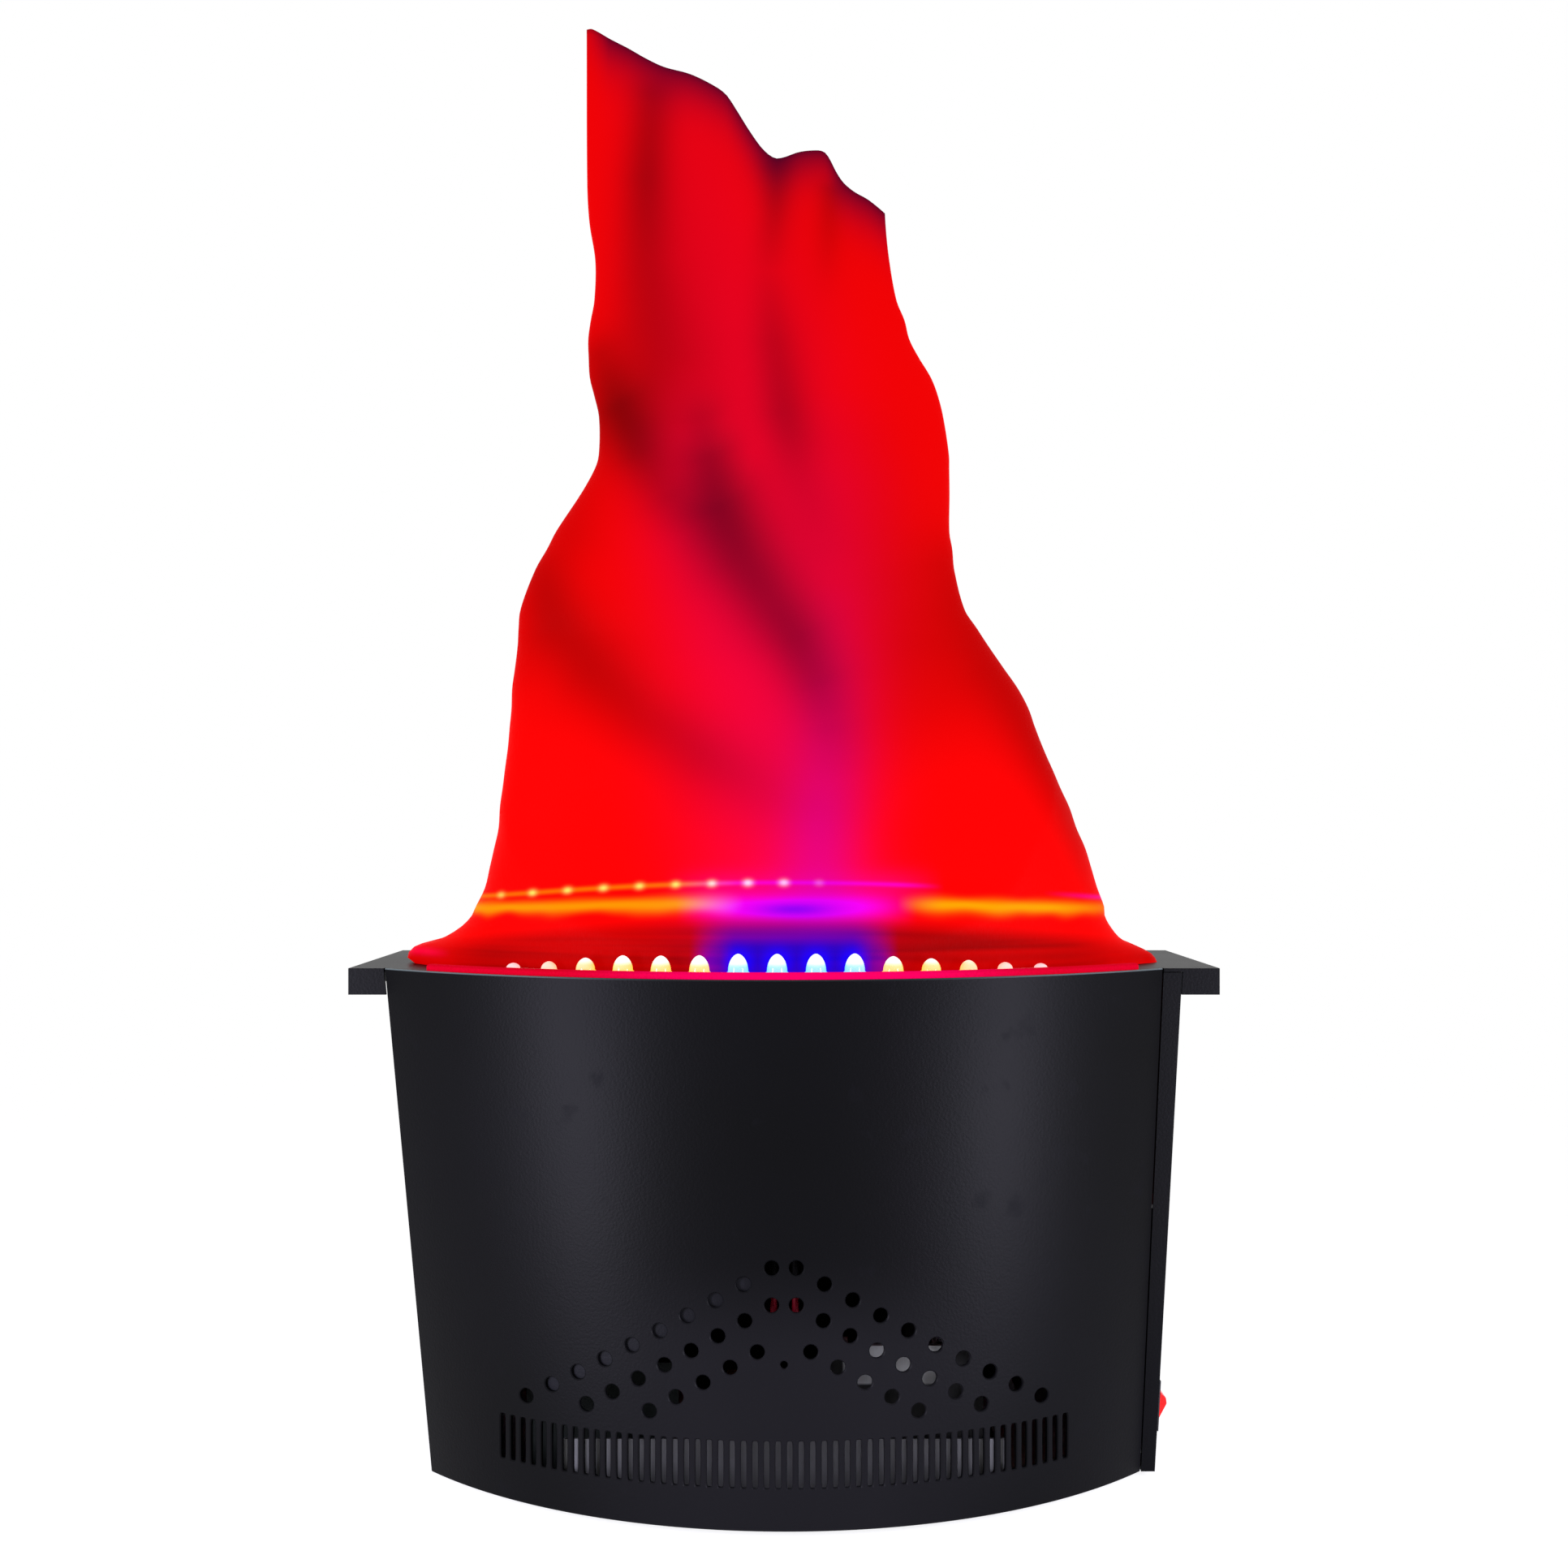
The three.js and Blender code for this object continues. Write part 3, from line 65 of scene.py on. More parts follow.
class Wire:
    """A socket of a node tree. Arithmetic on it adds Math nodes to the tree."""

    def __init__(self, tree, socket=None):
        self.tree = tree
        self.socket = socket

    def node(self, kind, settings=(), sockets=(), output=0):
        """Adds a node: its settings are set first, then its sockets get values or links."""
        made = self.tree.nodes.new("ShaderNode" + kind)
        for key, value in dict(settings).items():
            setattr(made, key, value)
        for key, value in dict(sockets).items():
            if isinstance(value, Wire):
                self.tree.links.new(value.socket, made.inputs[key])
            else:
                made.inputs[key].default_value = value
        return Wire(self.tree, made.outputs[output] if made.outputs else None)

    def math(self, operation, *values):
        return self.node("Math", {"operation": operation}, enumerate((self, *values)))

    def __add__(self, other):
        return self.math("ADD", other)

    def __sub__(self, other):
        return self.math("SUBTRACT", other)

    def __rsub__(self, other):
        return self.math("MULTIPLY_ADD", -1, other)

    def __mul__(self, other):
        return self.math("MULTIPLY", other)

    def __truediv__(self, other):
        return self.math("DIVIDE", other)

    __radd__ = __add__
    __rmul__ = __mul__

    def part(self, axis):
        """One of the three numbers of a place: X, Y or Z."""
        return self.node("SeparateXYZ", {}, {0: self}, axis)

    def stretched(self, factors):
        """This place with its three numbers multiplied by the factors."""
        return self.node("VectorMath", {"operation": "MULTIPLY"}, {0: self, 1: factors})

    def clip(self):
        """Held between 0 and 1."""
        return self.node("Clamp", {}, {0: self})

    def hill(self):
        """1 at zero, falling to nothing past 2 on both sides."""
        return (self * self * -1).math("EXPONENT")

    def rise(self, low, high):
        """A smooth step from 0 at low to 1 at high."""
        settings = {"interpolation_type": "SMOOTHSTEP"}
        return self.node("MapRange", settings, {0: self, 1: low, 2: high})

    def between(self, low, high, soft):
        """1 from low to high, with soft ends."""
        return self.rise(low - soft, low + soft) * (1 - self.rise(high - soft, high + soft))

    def mix(self, low, high):
        """The colour at this share from one colour to another."""
        pair = {0: self, 6: low, 7: high}
        for key in (6, 7):
            if not isinstance(pair[key], Wire):
                pair[key] = (*pair[key], 1)
        return self.node("Mix", {"data_type": "RGBA"}, pair, 2)

    def grain(self, scale, detail=2.0):
        """Noise over this place, from about 0.3 to 0.7."""
        return self.node("TexNoise", {}, {"Vector": self, "Scale": scale, "Detail": detail})

    def relief(self, depth):
        """A surface normal with this height, depth metres from low to high."""
        return self.node("Bump", {}, {"Strength": 1.0, "Distance": depth, "Height": self})


def blank(name):
    """A new material and the start of its node tree."""
    material = bpy.data.materials.new(name)
    material.use_nodes = True
    material.node_tree.nodes.clear()
    return material, Wire(material.node_tree)


def seen_at_once(start):
    """1 for what the camera sees straight, in a mirror or through glass, and 0 for what it lights."""
    seen = start.node("LightPath", {}, {}, "Is Camera Ray")
    mirrored = start.node("LightPath", {}, {}, "Is Glossy Ray")
    through = start.node("LightPath", {}, {}, "Is Transmission Ray")
    return (seen + mirrored + through).clip()


floor_side, floor_grey, floor_glow = 12, 0.46, 0.77
floor_mesh = bpy.data.meshes.new("floor")
corners = [(x * floor_side / 2, y * floor_side / 2, 0) for x, y in ((-1, -1), (1, -1), (1, 1), (-1, 1))]
floor_mesh.from_pydata(corners, [], [(0, 1, 2, 3)])
floor = bpy.data.objects.new("floor", floor_mesh)
scene.collection.objects.link(floor)

floor_finish, start = blank("pale floor")
floor_paint = {
    "Base Color": (floor_grey, floor_grey, floor_grey, 1), "Roughness": 0.9, "Specular IOR Level": 0.0,
    "Emission Color": seen_at_once(start).mix((0, 0, 0), (1, 1, 1)), "Emission Strength": floor_glow,
}
start.node("OutputMaterial", {}, {"Surface": start.node("BsdfPrincipled", {}, floor_paint)})
floor_mesh.materials.append(floor_finish)

world = bpy.data.worlds.new("studio")
world.use_nodes = True
world.node_tree.nodes.clear()
scene.world = world
start = Wire(world.node_tree)
ambient = 0.5
level = seen_at_once(start) * (1 - ambient) + ambient
backdrop = start.node("Background", {}, {"Color": (1, 1, 1, 1), "Strength": level})
start.node("OutputWorld", {}, {"Surface": backdrop})

# Each soft box: where it stands, the point on the floor that it faces, and its power
box_width, box_tall, box_base = 0.10, 0.30, 0.002
soft_box_tint = (0.82, 0.80, 1.0)
soft_boxes = {
    "soft_box_left": ((-0.344, -0.348), (-0.08, -0.06), 2.35),
    "soft_box_right": ((0.366, -0.320), (0.09, -0.05), 2.15),
}
for name, ((x, y), (aim_x, aim_y), power) in soft_boxes.items():
    lamp = bpy.data.lights.new(name, "AREA")
    lamp.shape = "RECTANGLE"
    lamp.size, lamp.size_y = box_width, box_tall
    lamp.energy = power
    lamp.color = soft_box_tint
    box = bpy.data.objects.new(name, lamp)
    box.location = (x, y, box_base + box_tall / 2)
    box.rotation_euler = Vector((aim_x - x, aim_y - y, 0)).to_track_quat("-Z", "Y").to_euler()
    box.visible_camera = False
    scene.collection.objects.link(box)

# Base plate and feet
# The base plate is zinc-plated sheet, closes the box from below and has an upright lip behind the
# grille. Four moulded rubber feet stand under it, with a fine skin and dust on their sides.


def object_place(start):
    """The place in the piece's own mesh, which is the frame's."""
    return start.node("TexCoord", {}, {}, "Object")


def finished(start, sockets):
    """Ends a material in a Principled shader with these sockets."""
    start.node("OutputMaterial", {}, {"Surface": start.node("BsdfPrincipled", {}, sockets)})


def zinc_plate(name, shade, metal=1.0, painted_light=None):
    """Plated sheet with soft spangle and rolling lines, or painted dark as shade all round one lit
    patch.
    """
    rolling_lines, spangle_scale, patch_edge = (2400, 90, 90), 160, 0.0006
    material, start = blank(name)
    place = object_place(start)
    rolled = place.stretched(rolling_lines).grain(1)
    spangle = start.node("TexVoronoi", {}, {"Vector": place, "Scale": spangle_scale}, "Color")
    spangle = start.node("SeparateColor", {}, {0: spangle})
    tone = rolled * 0.5 + spangle * 0.25
    colour = tone.mix([shade * 0.75] * 3, [shade, shade, shade * 1.06])
    roughness = tone * 0.2 + 0.3
    # Painted shade: outside the lit patch the sheet turns dark, rough and not metal
    if painted_light:
        low_x, high_x, low_z = painted_light
        above = place.part("Z").rise(low_z - patch_edge, low_z + patch_edge)
        patch = place.part("X").between(low_x, high_x, patch_edge) * above
        colour = patch.mix((0.003, 0.003, 0.003), colour)
        roughness = roughness + (1 - patch) * 0.4
        metal = patch * metal
    finished(start, {
        "Base Color": colour, "Metallic": metal, "Roughness": roughness,
        "Normal": rolled.relief(0.00003),
    })
    return material


zinc = zinc_plate("zinc plate", 0.62)


def moulded_rubber():
    """Black rubber with a matt moulded skin and patches of dust."""
    material, start = blank("moulded rubber")
    place = object_place(start)
    dust_and_low_tone = place.grain(70, 5).rise(0.5, 0.75)
    finished(start, {
        "Base Color": (dust_and_low_tone * 0.5).mix((0.008, 0.008, 0.008), (0.05, 0.048, 0.045)),
        "Roughness": dust_and_low_tone * 0.1 + 0.82, "Specular IOR Level": 0.3,
        "Normal": place.grain(1500).relief(0.00008),
    })
    return material


rubber = moulded_rubber()


def dress(node, material):
    """A CAD node keeps its shape and gets this finish."""
    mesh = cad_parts[node].data
    mesh.materials.clear()
    mesh.materials.append(material)


def mesh_of(name, points, faces):
    """A new mesh with these points and faces."""
    mesh = bpy.data.meshes.new(name)
    mesh.from_pydata(points, [], faces)
    return mesh


def piece_of(name, mesh, material, body="housing", stands_for=()):
    """A piece of the light in the frame's place, riding on one of its bodies."""
    piece = bpy.data.objects.new(name, mesh)
    scene.collection.objects.link(piece)
    mesh.materials.clear()
    mesh.materials.append(material)
    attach(piece, body)
    if stands_for:
        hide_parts(*stands_for)
    return piece


def rounded(node, radius, material, body="housing"):
    """The node's own form as sheet or moulding really has it, with its edges rounded."""
    same_place, flat_angle, edge_angle, segments = 1e-6, math.radians(0.6), math.radians(38), 3
    shape = bmesh.new()
    shape.from_mesh(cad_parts[node].data)
    bmesh.ops.remove_doubles(shape, verts=shape.verts, dist=same_place)
    bmesh.ops.dissolve_limit(shape, angle_limit=flat_angle, verts=shape.verts, edges=shape.edges)
    mesh = bpy.data.meshes.new(node)
    shape.to_mesh(mesh)
    shape.free()
    mesh.shade_smooth()
    draft = bpy.data.objects.new("draft", mesh)
    scene.collection.objects.link(draft)
    bevel = draft.modifiers.new("bevel", "BEVEL")
    bevel.width = radius
    bevel.segments = segments
    bevel.limit_method = "ANGLE"
    bevel.angle_limit = edge_angle
    draft.modifiers.new("normals", "WEIGHTED_NORMAL").keep_sharp = True
    ready = bpy.data.meshes.new_from_object(draft.evaluated_get(bpy.context.evaluated_depsgraph_get()))
    bpy.data.objects.remove(draft)
    return piece_of(node + "_form", ready, material, body, [node])


dull_zinc = zinc_plate("dull zinc floor", 0.5, 0.35)
rounded("bottom_plate", 0.0004, dull_zinc)

lip_reach, lip_front, lip_thick, lip_low, lip_high = 0.088, -0.0582, 0.0012, 0.0045, 0.0300
lip_back = lip_front + lip_thick
lip_plan = [
    (-lip_reach, lip_front), (lip_reach, lip_front), (lip_reach, lip_back), (-lip_reach, lip_back)]
lip_corners = [(x, y, z) for z in (lip_low, lip_high) for x, y in lip_plan]
lip_faces = [(0, 3, 2, 1), (4, 5, 6, 7), (0, 1, 5, 4), (1, 2, 6, 5), (2, 3, 7, 6), (3, 0, 4, 7)]
# The lip is a dark, dull, non-metal copy of the zinc
dark_dull_zinc = zinc_plate("dark dull zinc lip", 0.19, 0.0)
piece_of("grille_lip", mesh_of("grille_lip", lip_corners, lip_faces), dark_dull_zinc)

for place in ("front_left", "front_right", "rear_left", "rear_right"):
    rounded("foot_" + place, 0.0005, rubber)

# Rear chassis and top deck
# Both are folded from 1.5 mm steel sheet and powder coated satin black: the chassis gives the back,
# the sides and the flange beside the seam, and the deck stands out as a wing on each side.


def powder_coat(name, shade, highlight_above=None, lighter_below=None):
    """Satin powder coat: a fine orange peel, soft clouds, rubbed places, a painted top highlight, paler
    low down.
    """
    material, start = blank(name)
    place = object_place(start)
    cloud = place.grain(9, 3)
    rubbed = place.grain(55, 6).rise(0.62, 0.74)
    peel = place.grain(950, 1)
    tone = (cloud + rubbed * 0.35).clip()
    coat = tone.mix([shade * 0.6] * 3, [shade, shade, shade * 1.5])
    # A painted highlight: a grey line along the top edge, brighter towards the ends
    if highlight_above:
        highlight_edge, unlit_to, lit_from = 0.0003, 0.04, 0.12
        rim_highlight = place.part("X").math("ABSOLUTE").rise(unlit_to, lit_from)
        painted_light = rim_highlight.mix((0.012, 0.020, 0.020), (0.12, 0.15, 0.15))
        coat = place.part("Z").rise(highlight_above, highlight_above + highlight_edge).mix(coat, painted_light)
    # The coat turns lighter towards the bottom, in the middle and in soft clouds
    if lighter_below:
        lower_fade, lower_half, lower_soft = 0.045, 0.06, 0.04
        dust_and_low_tone = 1 - place.part("Z").rise(lighter_below - lower_fade, lighter_below)
        dust_and_low_tone = dust_and_low_tone * place.part("X").between(-lower_half, lower_half, lower_soft)
        coat = (dust_and_low_tone * (cloud * 0.8 + 0.6)).clip().mix(coat, (0.0078, 0.0075, 0.0092))
    finished(start, {
        "Base Color": coat,
        "Roughness": cloud * 0.1 + rubbed * 0.08 + 0.36, "Specular IOR Level": 0.055,
        "Normal": peel.relief(0.00006),
    })
    return material


black_paint = powder_coat("satin black powder coat", 0.0028)
rounded("rear_chassis", 0.0009, black_paint)
rounded("top_deck", 0.0006, black_paint)

# Front cover
# One sheet of the same steel, rolled to a bow and punched for air: three chevrons of round holes,
# a pilot hole between them and a row of slots near the floor. Its cut edges are slightly broken.
steel = 0.0015
foot_height, rim_height, housing_height = 0.003, 0.212, 0.209
rim_left, rim_right, base_left, base_right = 0.166, 0.1655, 0.1465, 0.154
rim_flange, base_flange = 0.008, 0.006
rim_sagitta, base_sagitta = 0.054, 0.060
chord_y = -0.02125
broken_edge = 0.0004
vent_bore, vent_slope = 0.0058, 0.58
# Each chevron: half the gap at its top, the height there, the pitch across and the holes on one side
chevrons = [(0.0047, 0.1024, 0.0108, 10), (0.0047, 0.0883, 0.0103, 8), (0.0102, 0.0706, 0.0104, 5)]
pilot_bore, pilot_height = 0.003, 0.0658
slot_count, slot_pitch, slot_width, slot_length, slot_base = 52, 0.0044, 0.0021, 0.018, 0.019


def between(low, high, share):
    """The value at this share of the way from low to high."""
    return low + (high - low) * share


def bow_at(z):
    """The bowed wall at one height: its middle, its radius, its centre and its half angle."""
    share = (z - foot_height) / housing_height
    left = -between(base_left, rim_left, share)
    seam_and_top_shade = between(base_right - base_flange, rim_right - rim_flange, share)
    sagitta = between(base_sagitta, rim_sagitta, share)
    half = (seam_and_top_shade - left) / 2
    radius = (half * half + sagitta * sagitta) / (2 * sagitta)
    return (left + seam_and_top_shade) / 2, radius, chord_y - sagitta + radius, math.asin(half / radius)


def front_at(x, z, inset):
    """How far forward the bowed wall stands, an inset behind its face."""
    middle, radius, centre, _ = bow_at(z)
    return centre - math.sqrt(max((radius - inset) ** 2 - (x - middle) ** 2, 0))


def faced_out(mesh):
    """The same mesh with all its faces turned outwards."""
    shape = bmesh.new()
    shape.from_mesh(mesh)
    bmesh.ops.recalc_face_normals(shape, faces=shape.faces)
    shape.to_mesh(mesh)
    shape.free()
    return mesh


def front_cover():
    """The bowed sheet, meshed flat round its holes, then bent, and smooth but for its cut edges."""
    half_width = (base_left + rim_left) / 2
    columns, rows, round_sides, slot_sides = 84, 20, 16, 20
    round_power, slot_power = 2, 7
    hole_room, same_place, cut_angle = 0.0012, 1e-7, math.radians(30)

    def flat(x, z):
        """A place on the wall as a share of its half angle, and its height."""
        middle, radius, _, swing = bow_at(z)
        return math.asin((x - middle) / radius) / swing, z

    def on_wall(place, inset):
        """The point of the bent sheet at such a place, an inset behind its face."""
        middle, radius, centre, swing = bow_at(place[1])
        angle = place[0] * swing
        reach = radius - inset
        return Vector((middle + reach * math.sin(angle), centre - reach * math.cos(angle), place[1]))

    def wall_normal(place):
        """The direction that the face looks in there."""
        small = 0.001
        across = on_wall((place[0] + small, place[1]), 0) - on_wall((place[0] - small, place[1]), 0)
        up = on_wall((place[0], place[1] + small), 0) - on_wall((place[0], place[1] - small), 0)
        return across.cross(up).normalized()

    holes = []
    for start_x, top, pitch, count in chevrons:
        for i in range(count):
            for side in (-1, 1):
                holes.append((side * (start_x + i * pitch), top - i * pitch * vent_slope,
                              vent_bore / 2, vent_bore / 2, round_power))
    holes.append((0, pilot_height, pilot_bore / 2, pilot_bore / 2, round_power))
    for i in range(slot_count):
        holes.append(((i - (slot_count - 1) / 2) * slot_pitch, slot_base + slot_length / 2,
                      slot_width / 2, slot_length / 2, slot_power))

    places, edge_places, loops = [], {}, []

    def add_loop(pairs):
        """Adds a closed edge of pairs: the place on the cut wall, and on the face beside it."""
        first = len(places)
        for inner, outer in pairs:
            edge_places[len(places)] = inner
            places.append(outer)
        loops.append(list(range(first, len(places))))

    border = [(2 * i / columns - 1, 0) for i in range(columns)]
    border += [(1, j / rows) for j in range(rows)]
    border += [(1 - 2 * i / columns, 1) for i in range(columns)]
    border += [(-1, 1 - j / rows) for j in range(rows)]
    trim_x, trim_z = broken_edge / half_width, broken_edge / housing_height
    add_loop([((u, foot_height + v * housing_height),
               (max(min(u, 1 - trim_x), trim_x - 1),
                foot_height + max(min(v, 1 - trim_z), trim_z) * housing_height)) for u, v in border])
    for x, z, half_x, half_z, power in holes:
        sides = round_sides if power == round_power else slot_sides
        ring = []
        for k in range(sides):
            c, s = math.cos(2 * math.pi * k / sides), math.sin(2 * math.pi * k / sides)
            across = math.copysign(abs(c) ** (2 / power), c)
            up = math.copysign(abs(s) ** (2 / power), s)
            ring.append(tuple(flat(x + (half_x + grown) * across, z + (half_z + grown) * up)
                              for grown in (0, broken_edge)))
        add_loop(ring)

    def in_hole(x, z, room):
        """Whether a place lies in a hole or within this room of one."""
        return any((abs(x - cx) / (hx + room)) ** n + (abs(z - cz) / (hz + room)) ** n < 1
                   for cx, cz, hx, hz, n in holes)

    for i in range(1, columns):
        for j in range(1, rows):
            place = (2 * i / columns - 1, foot_height + j / rows * housing_height)
            if not in_hole(on_wall(place, 0).x, place[1], hole_room):
                places.append(place)

    plane = [Vector((u * half_width, z)) for u, z in places]
    links = [(loop[k], loop[(k + 1) % len(loop)]) for loop in loops for k in range(len(loop))]
    points, _, triangles, origins, _, _ = delaunay_2d_cdt(plane, links, [], 0, same_place)
    of_place = {old: new for new, olds in enumerate(origins) for old in olds}
    place_of = {new: old for old, new in of_place.items()}
    kept = []
    for triangle in triangles:
        centre = sum((points[k] for k in triangle), Vector((0, 0))) / 3
        wall = on_wall((centre.x / half_width, centre.y), 0)
        if not in_hole(wall.x, centre.y, broken_edge):
            kept.append(tuple(triangle))
    count = len(points)
    verts = [on_wall(places[place_of[k]], 0) for k in range(count)]
    verts += [on_wall(edge_places.get(place_of[k], places[place_of[k]]), steel) for k in range(count)]
    faces = kept + [(c + count, b + count, a + count) for a, b, c in kept]
    for loop in loops:
        rim_start = len(verts)
        verts += [on_wall(edge_places[k], broken_edge) for k in loop]
        for k in range(len(loop)):
            after = (k + 1) % len(loop)
            a, b = of_place[loop[k]], of_place[loop[after]]
            faces.append((a, b, rim_start + after, rim_start + k))
            faces.append((rim_start + k, rim_start + after, b + count, a + count))
    mesh = faced_out(mesh_of("front_cover", verts, faces))
    mesh.shade_smooth()
    mesh.set_sharp_from_angle(angle=cut_angle)
    outward = [wall_normal(places[place_of[k]]) for k in range(count)]
    normals = []
    for face in mesh.polygons:
        side = 1 if face.index < len(kept) else -1
        for vertex in face.vertices:
            on_sheet = face.index < 2 * len(kept)
            normals.append(side * outward[vertex % count] if on_sheet else Vector((0, 0, 0)))
    mesh.normals_split_custom_set(normals)
    return mesh


# The band of painted highlight along the cover's top edge, and the height below which its coat turns
# lighter in the middle
rim_highlight_band, lighter_height = 0.0006, 0.110
cover_paint = powder_coat("cover powder coat", 0.0028, rim_height - rim_highlight_band, lighter_height)
piece_of("front_cover_sheet", front_cover(), cover_paint, stands_for=["front_cover"])

strip_from, strip_to, strip_half = -0.0955, -0.0105, 0.0046
strip_gap, strip_thick, strip_steps = 0.0003, 0.0008, 24


def blanking_strip():
    """A painted strip that closes the left half of the top chevron from behind."""
    start_x, top, _, _ = chevrons[0]
    points, faces = [], []
    for i in range(strip_steps + 1):
        x = between(strip_from, strip_to, i / strip_steps)
        middle = top - (-x - start_x) * vent_slope
        for z, behind in ((middle - strip_half, 0), (middle + strip_half, 0),
                          (middle + strip_half, strip_thick), (middle - strip_half, strip_thick)):
            points.append((x, front_at(x, z, steel + strip_gap + behind), z))
    for i in range(strip_steps):
        for k in range(4):
            a, b = 4 * i + k, 4 * i + (k + 1) % 4
            faces.append((a, a + 4, b + 4, b))
    faces += [(0, 1, 2, 3), tuple(4 * strip_steps + k for k in (3, 2, 1, 0))]
    return mesh_of("blanking_strip", points, faces)


# Painted light: the strip's coat is paler than the cover's black, so that it shows about as bright as
# the cover in the shade behind the holes
paler_strip_paint = powder_coat("strip powder coat", 0.012)
piece_of("blanking_strip", blanking_strip(), paler_strip_paint)

# Silk flame
# Two flame-shaped cloths of thin red silk, sewn into a bag that is open at the hem. The fan blows it
# up, the lamps inside and in front light it from below, and its slack lies in soft folds. That light
# and the shade of its folds are painted into the cloth's glow.
silk_half, silk_height, silk_inset, box_depth, top_slit = 0.155, 0.398, 0.0159, 0.1, 0.003
silk_columns, silk_rows = 200, 170
lamp_pitch, lamp_shift = 0.0152, -0.0027

# Height, left and right: shares of the flame's height from the rim, and of its foot's half width
side_shares = [
    (0, -1.035, 1.052), (0.004, -1.053, 1.048), (0.011, -1.052, 1.030), (0.018, -1.034, 0.992),
    (0.025, -0.967, 0.948), (0.039, -0.900, 0.913), (0.052, -0.864, 0.894), (0.061, -0.853, 0.893),
    (0.082, -0.825, 0.872), (0.104, -0.811, 0.854), (0.125, -0.798, 0.836), (0.146, -0.785, 0.810),
    (0.168, -0.781, 0.789), (0.189, -0.774, 0.762), (0.210, -0.768, 0.738), (0.232, -0.761, 0.714),
    (0.254, -0.757, 0.693), (0.274, -0.753, 0.676), (0.296, -0.752, 0.647), (0.317, -0.745, 0.610),
    (0.341, -0.738, 0.568), (0.360, -0.735, 0.536), (0.381, -0.729, 0.500), (0.423, -0.688, 0.471),
    (0.446, -0.654, 0.465), (0.464, -0.630, 0.457), (0.505, -0.560, 0.457), (0.531, -0.523, 0.456),
    (0.547, -0.511, 0.455), (0.587, -0.510, 0.439), (0.610, -0.523, 0.424), (0.629, -0.535, 0.405),
    (0.650, -0.538, 0.372), (0.670, -0.539, 0.345), (0.690, -0.532, 0.332), (0.711, -0.522, 0.310),
    (0.753, -0.519, 0.290), (0.794, -0.535, 0.279), (0.835, -0.541, 0.276), (1, -0.542, 0.275),
]
# Height, front and rear: shares of the flame's height, and of the box's depth from the front's chord
depth_shares = [
    (0, -0.37, 0.85), (0.032, -0.32, 0.848), (0.052, -0.25, 0.845), (0.072, -0.2, 0.84),
    (0.114, -0.15, 0.8), (0.175, -0.1, 0.69), (0.238, -0.07, 0.6), (0.299, -0.04, 0.54),
    (0.381, -0.02, 0.47), (0.464, 0, 0.43), (0.547, 0.02, 0.39), (0.629, 0.035, 0.355),
    (0.711, 0.045, 0.33), (0.794, 0.055, 0.31), (1, 0.07, 0.28),
]
# The ragged top edge from left to right: shares of its width and of the flame's height
top_shares = [
    (0, 1), (0.02, 1), (0.08, 0.989), (0.14, 0.979), (0.20, 0.968), (0.26, 0.959), (0.35, 0.951),
    (0.43, 0.9385), (0.47, 0.929), (0.5, 0.915), (0.545, 0.892), (0.59, 0.872), (0.63, 0.862),
    (0.66, 0.8625), (0.71, 0.868), (0.755, 0.870), (0.795, 0.869), (0.815, 0.862), (0.83, 0.852),
    (0.85, 0.841), (0.868, 0.834), (0.90, 0.826), (0.94, 0.819), (0.97, 0.812), (1, 0.804),
]

# Folds run through points of x, z, half width and strength of painted shade, and end in a depth
folds = [
    ([(-0.056, 0.580, 0.010, 0.42), (-0.058, 0.545, 0.011, 0.50), (-0.058, 0.510, 0.013, 0.38),
      (-0.055, 0.470, 0.018, 0.34), (-0.056, 0.445, 0.016, 0.26)], 0.006),
    ([(-0.078, 0.468, 0.012, 0.38), (-0.070, 0.448, 0.015, 0.66), (-0.061, 0.430, 0.014, 0.58),
      (-0.050, 0.412, 0.014, 0.36), (-0.038, 0.395, 0.014, 0.12)], 0.008),
    ([(-0.003, 0.550, 0.008, 0.46), (-0.004, 0.530, 0.007, 0.32), (-0.007, 0.505, 0.008, 0.14),
      (-0.004, 0.475, 0.010, 0.34), (0.000, 0.445, 0.011, 0.40), (0.006, 0.420, 0.012, 0.24),
      (0.016, 0.390, 0.012, 0.10)], 0.009),
    ([(0.020, 0.540, 0.006, 0.34), (0.018, 0.500, 0.006, 0.04)], 0.003),
    ([(-0.034, 0.440, 0.010, 0.26), (-0.031, 0.424, 0.014, 0.58), (-0.027, 0.405, 0.019, 0.72),
      (-0.018, 0.385, 0.020, 0.66), (-0.006, 0.366, 0.018, 0.60), (0.005, 0.350, 0.016, 0.60),
      (0.013, 0.333, 0.015, 0.50), (0.018, 0.315, 0.014, 0.30), (0.022, 0.290, 0.014, 0.06)], 0.012),
    ([(-0.104, 0.376, 0.012, 0.26), (-0.094, 0.355, 0.016, 0.38), (-0.080, 0.337, 0.017, 0.40),
      (-0.060, 0.318, 0.015, 0.34), (-0.035, 0.302, 0.014, 0.28), (-0.008, 0.286, 0.013, 0.14),
      (0.015, 0.276, 0.012, 0.06)], 0.009),
    ([(0.072, 0.380, 0.016, 0.18), (0.090, 0.338, 0.018, 0.36), (0.110, 0.302, 0.014, 0.44),
      (0.124, 0.270, 0.010, 0.36), (0.130, 0.248, 0.008, 0.14)], 0.006),
    ([(0.030, 0.425, 0.024, 0.10), (0.042, 0.372, 0.030, 0.18), (0.062, 0.328, 0.028, 0.12)], 0.003),
]
# Painted shade: the cloth is a little darker along its left edge and above the fan's warm light
dim_places = [
    [(-0.085, 0.430, 0.016, 0.14), (-0.092, 0.395, 0.016, 0.22), (-0.110, 0.340, 0.012, 0.08)],
    [(-0.040, 0.540, 0.026, 0.10), (-0.040, 0.480, 0.026, 0.18), (-0.034, 0.450, 0.020, 0.22)],
    [(0.010, 0.520, 0.018, 0.06), (0.006, 0.440, 0.014, 0.10)],
    [(-0.030, 0.290, 0.026, 0.12), (0.020, 0.292, 0.030, 0.12), (0.075, 0.370, 0.020, 0.08)],
]
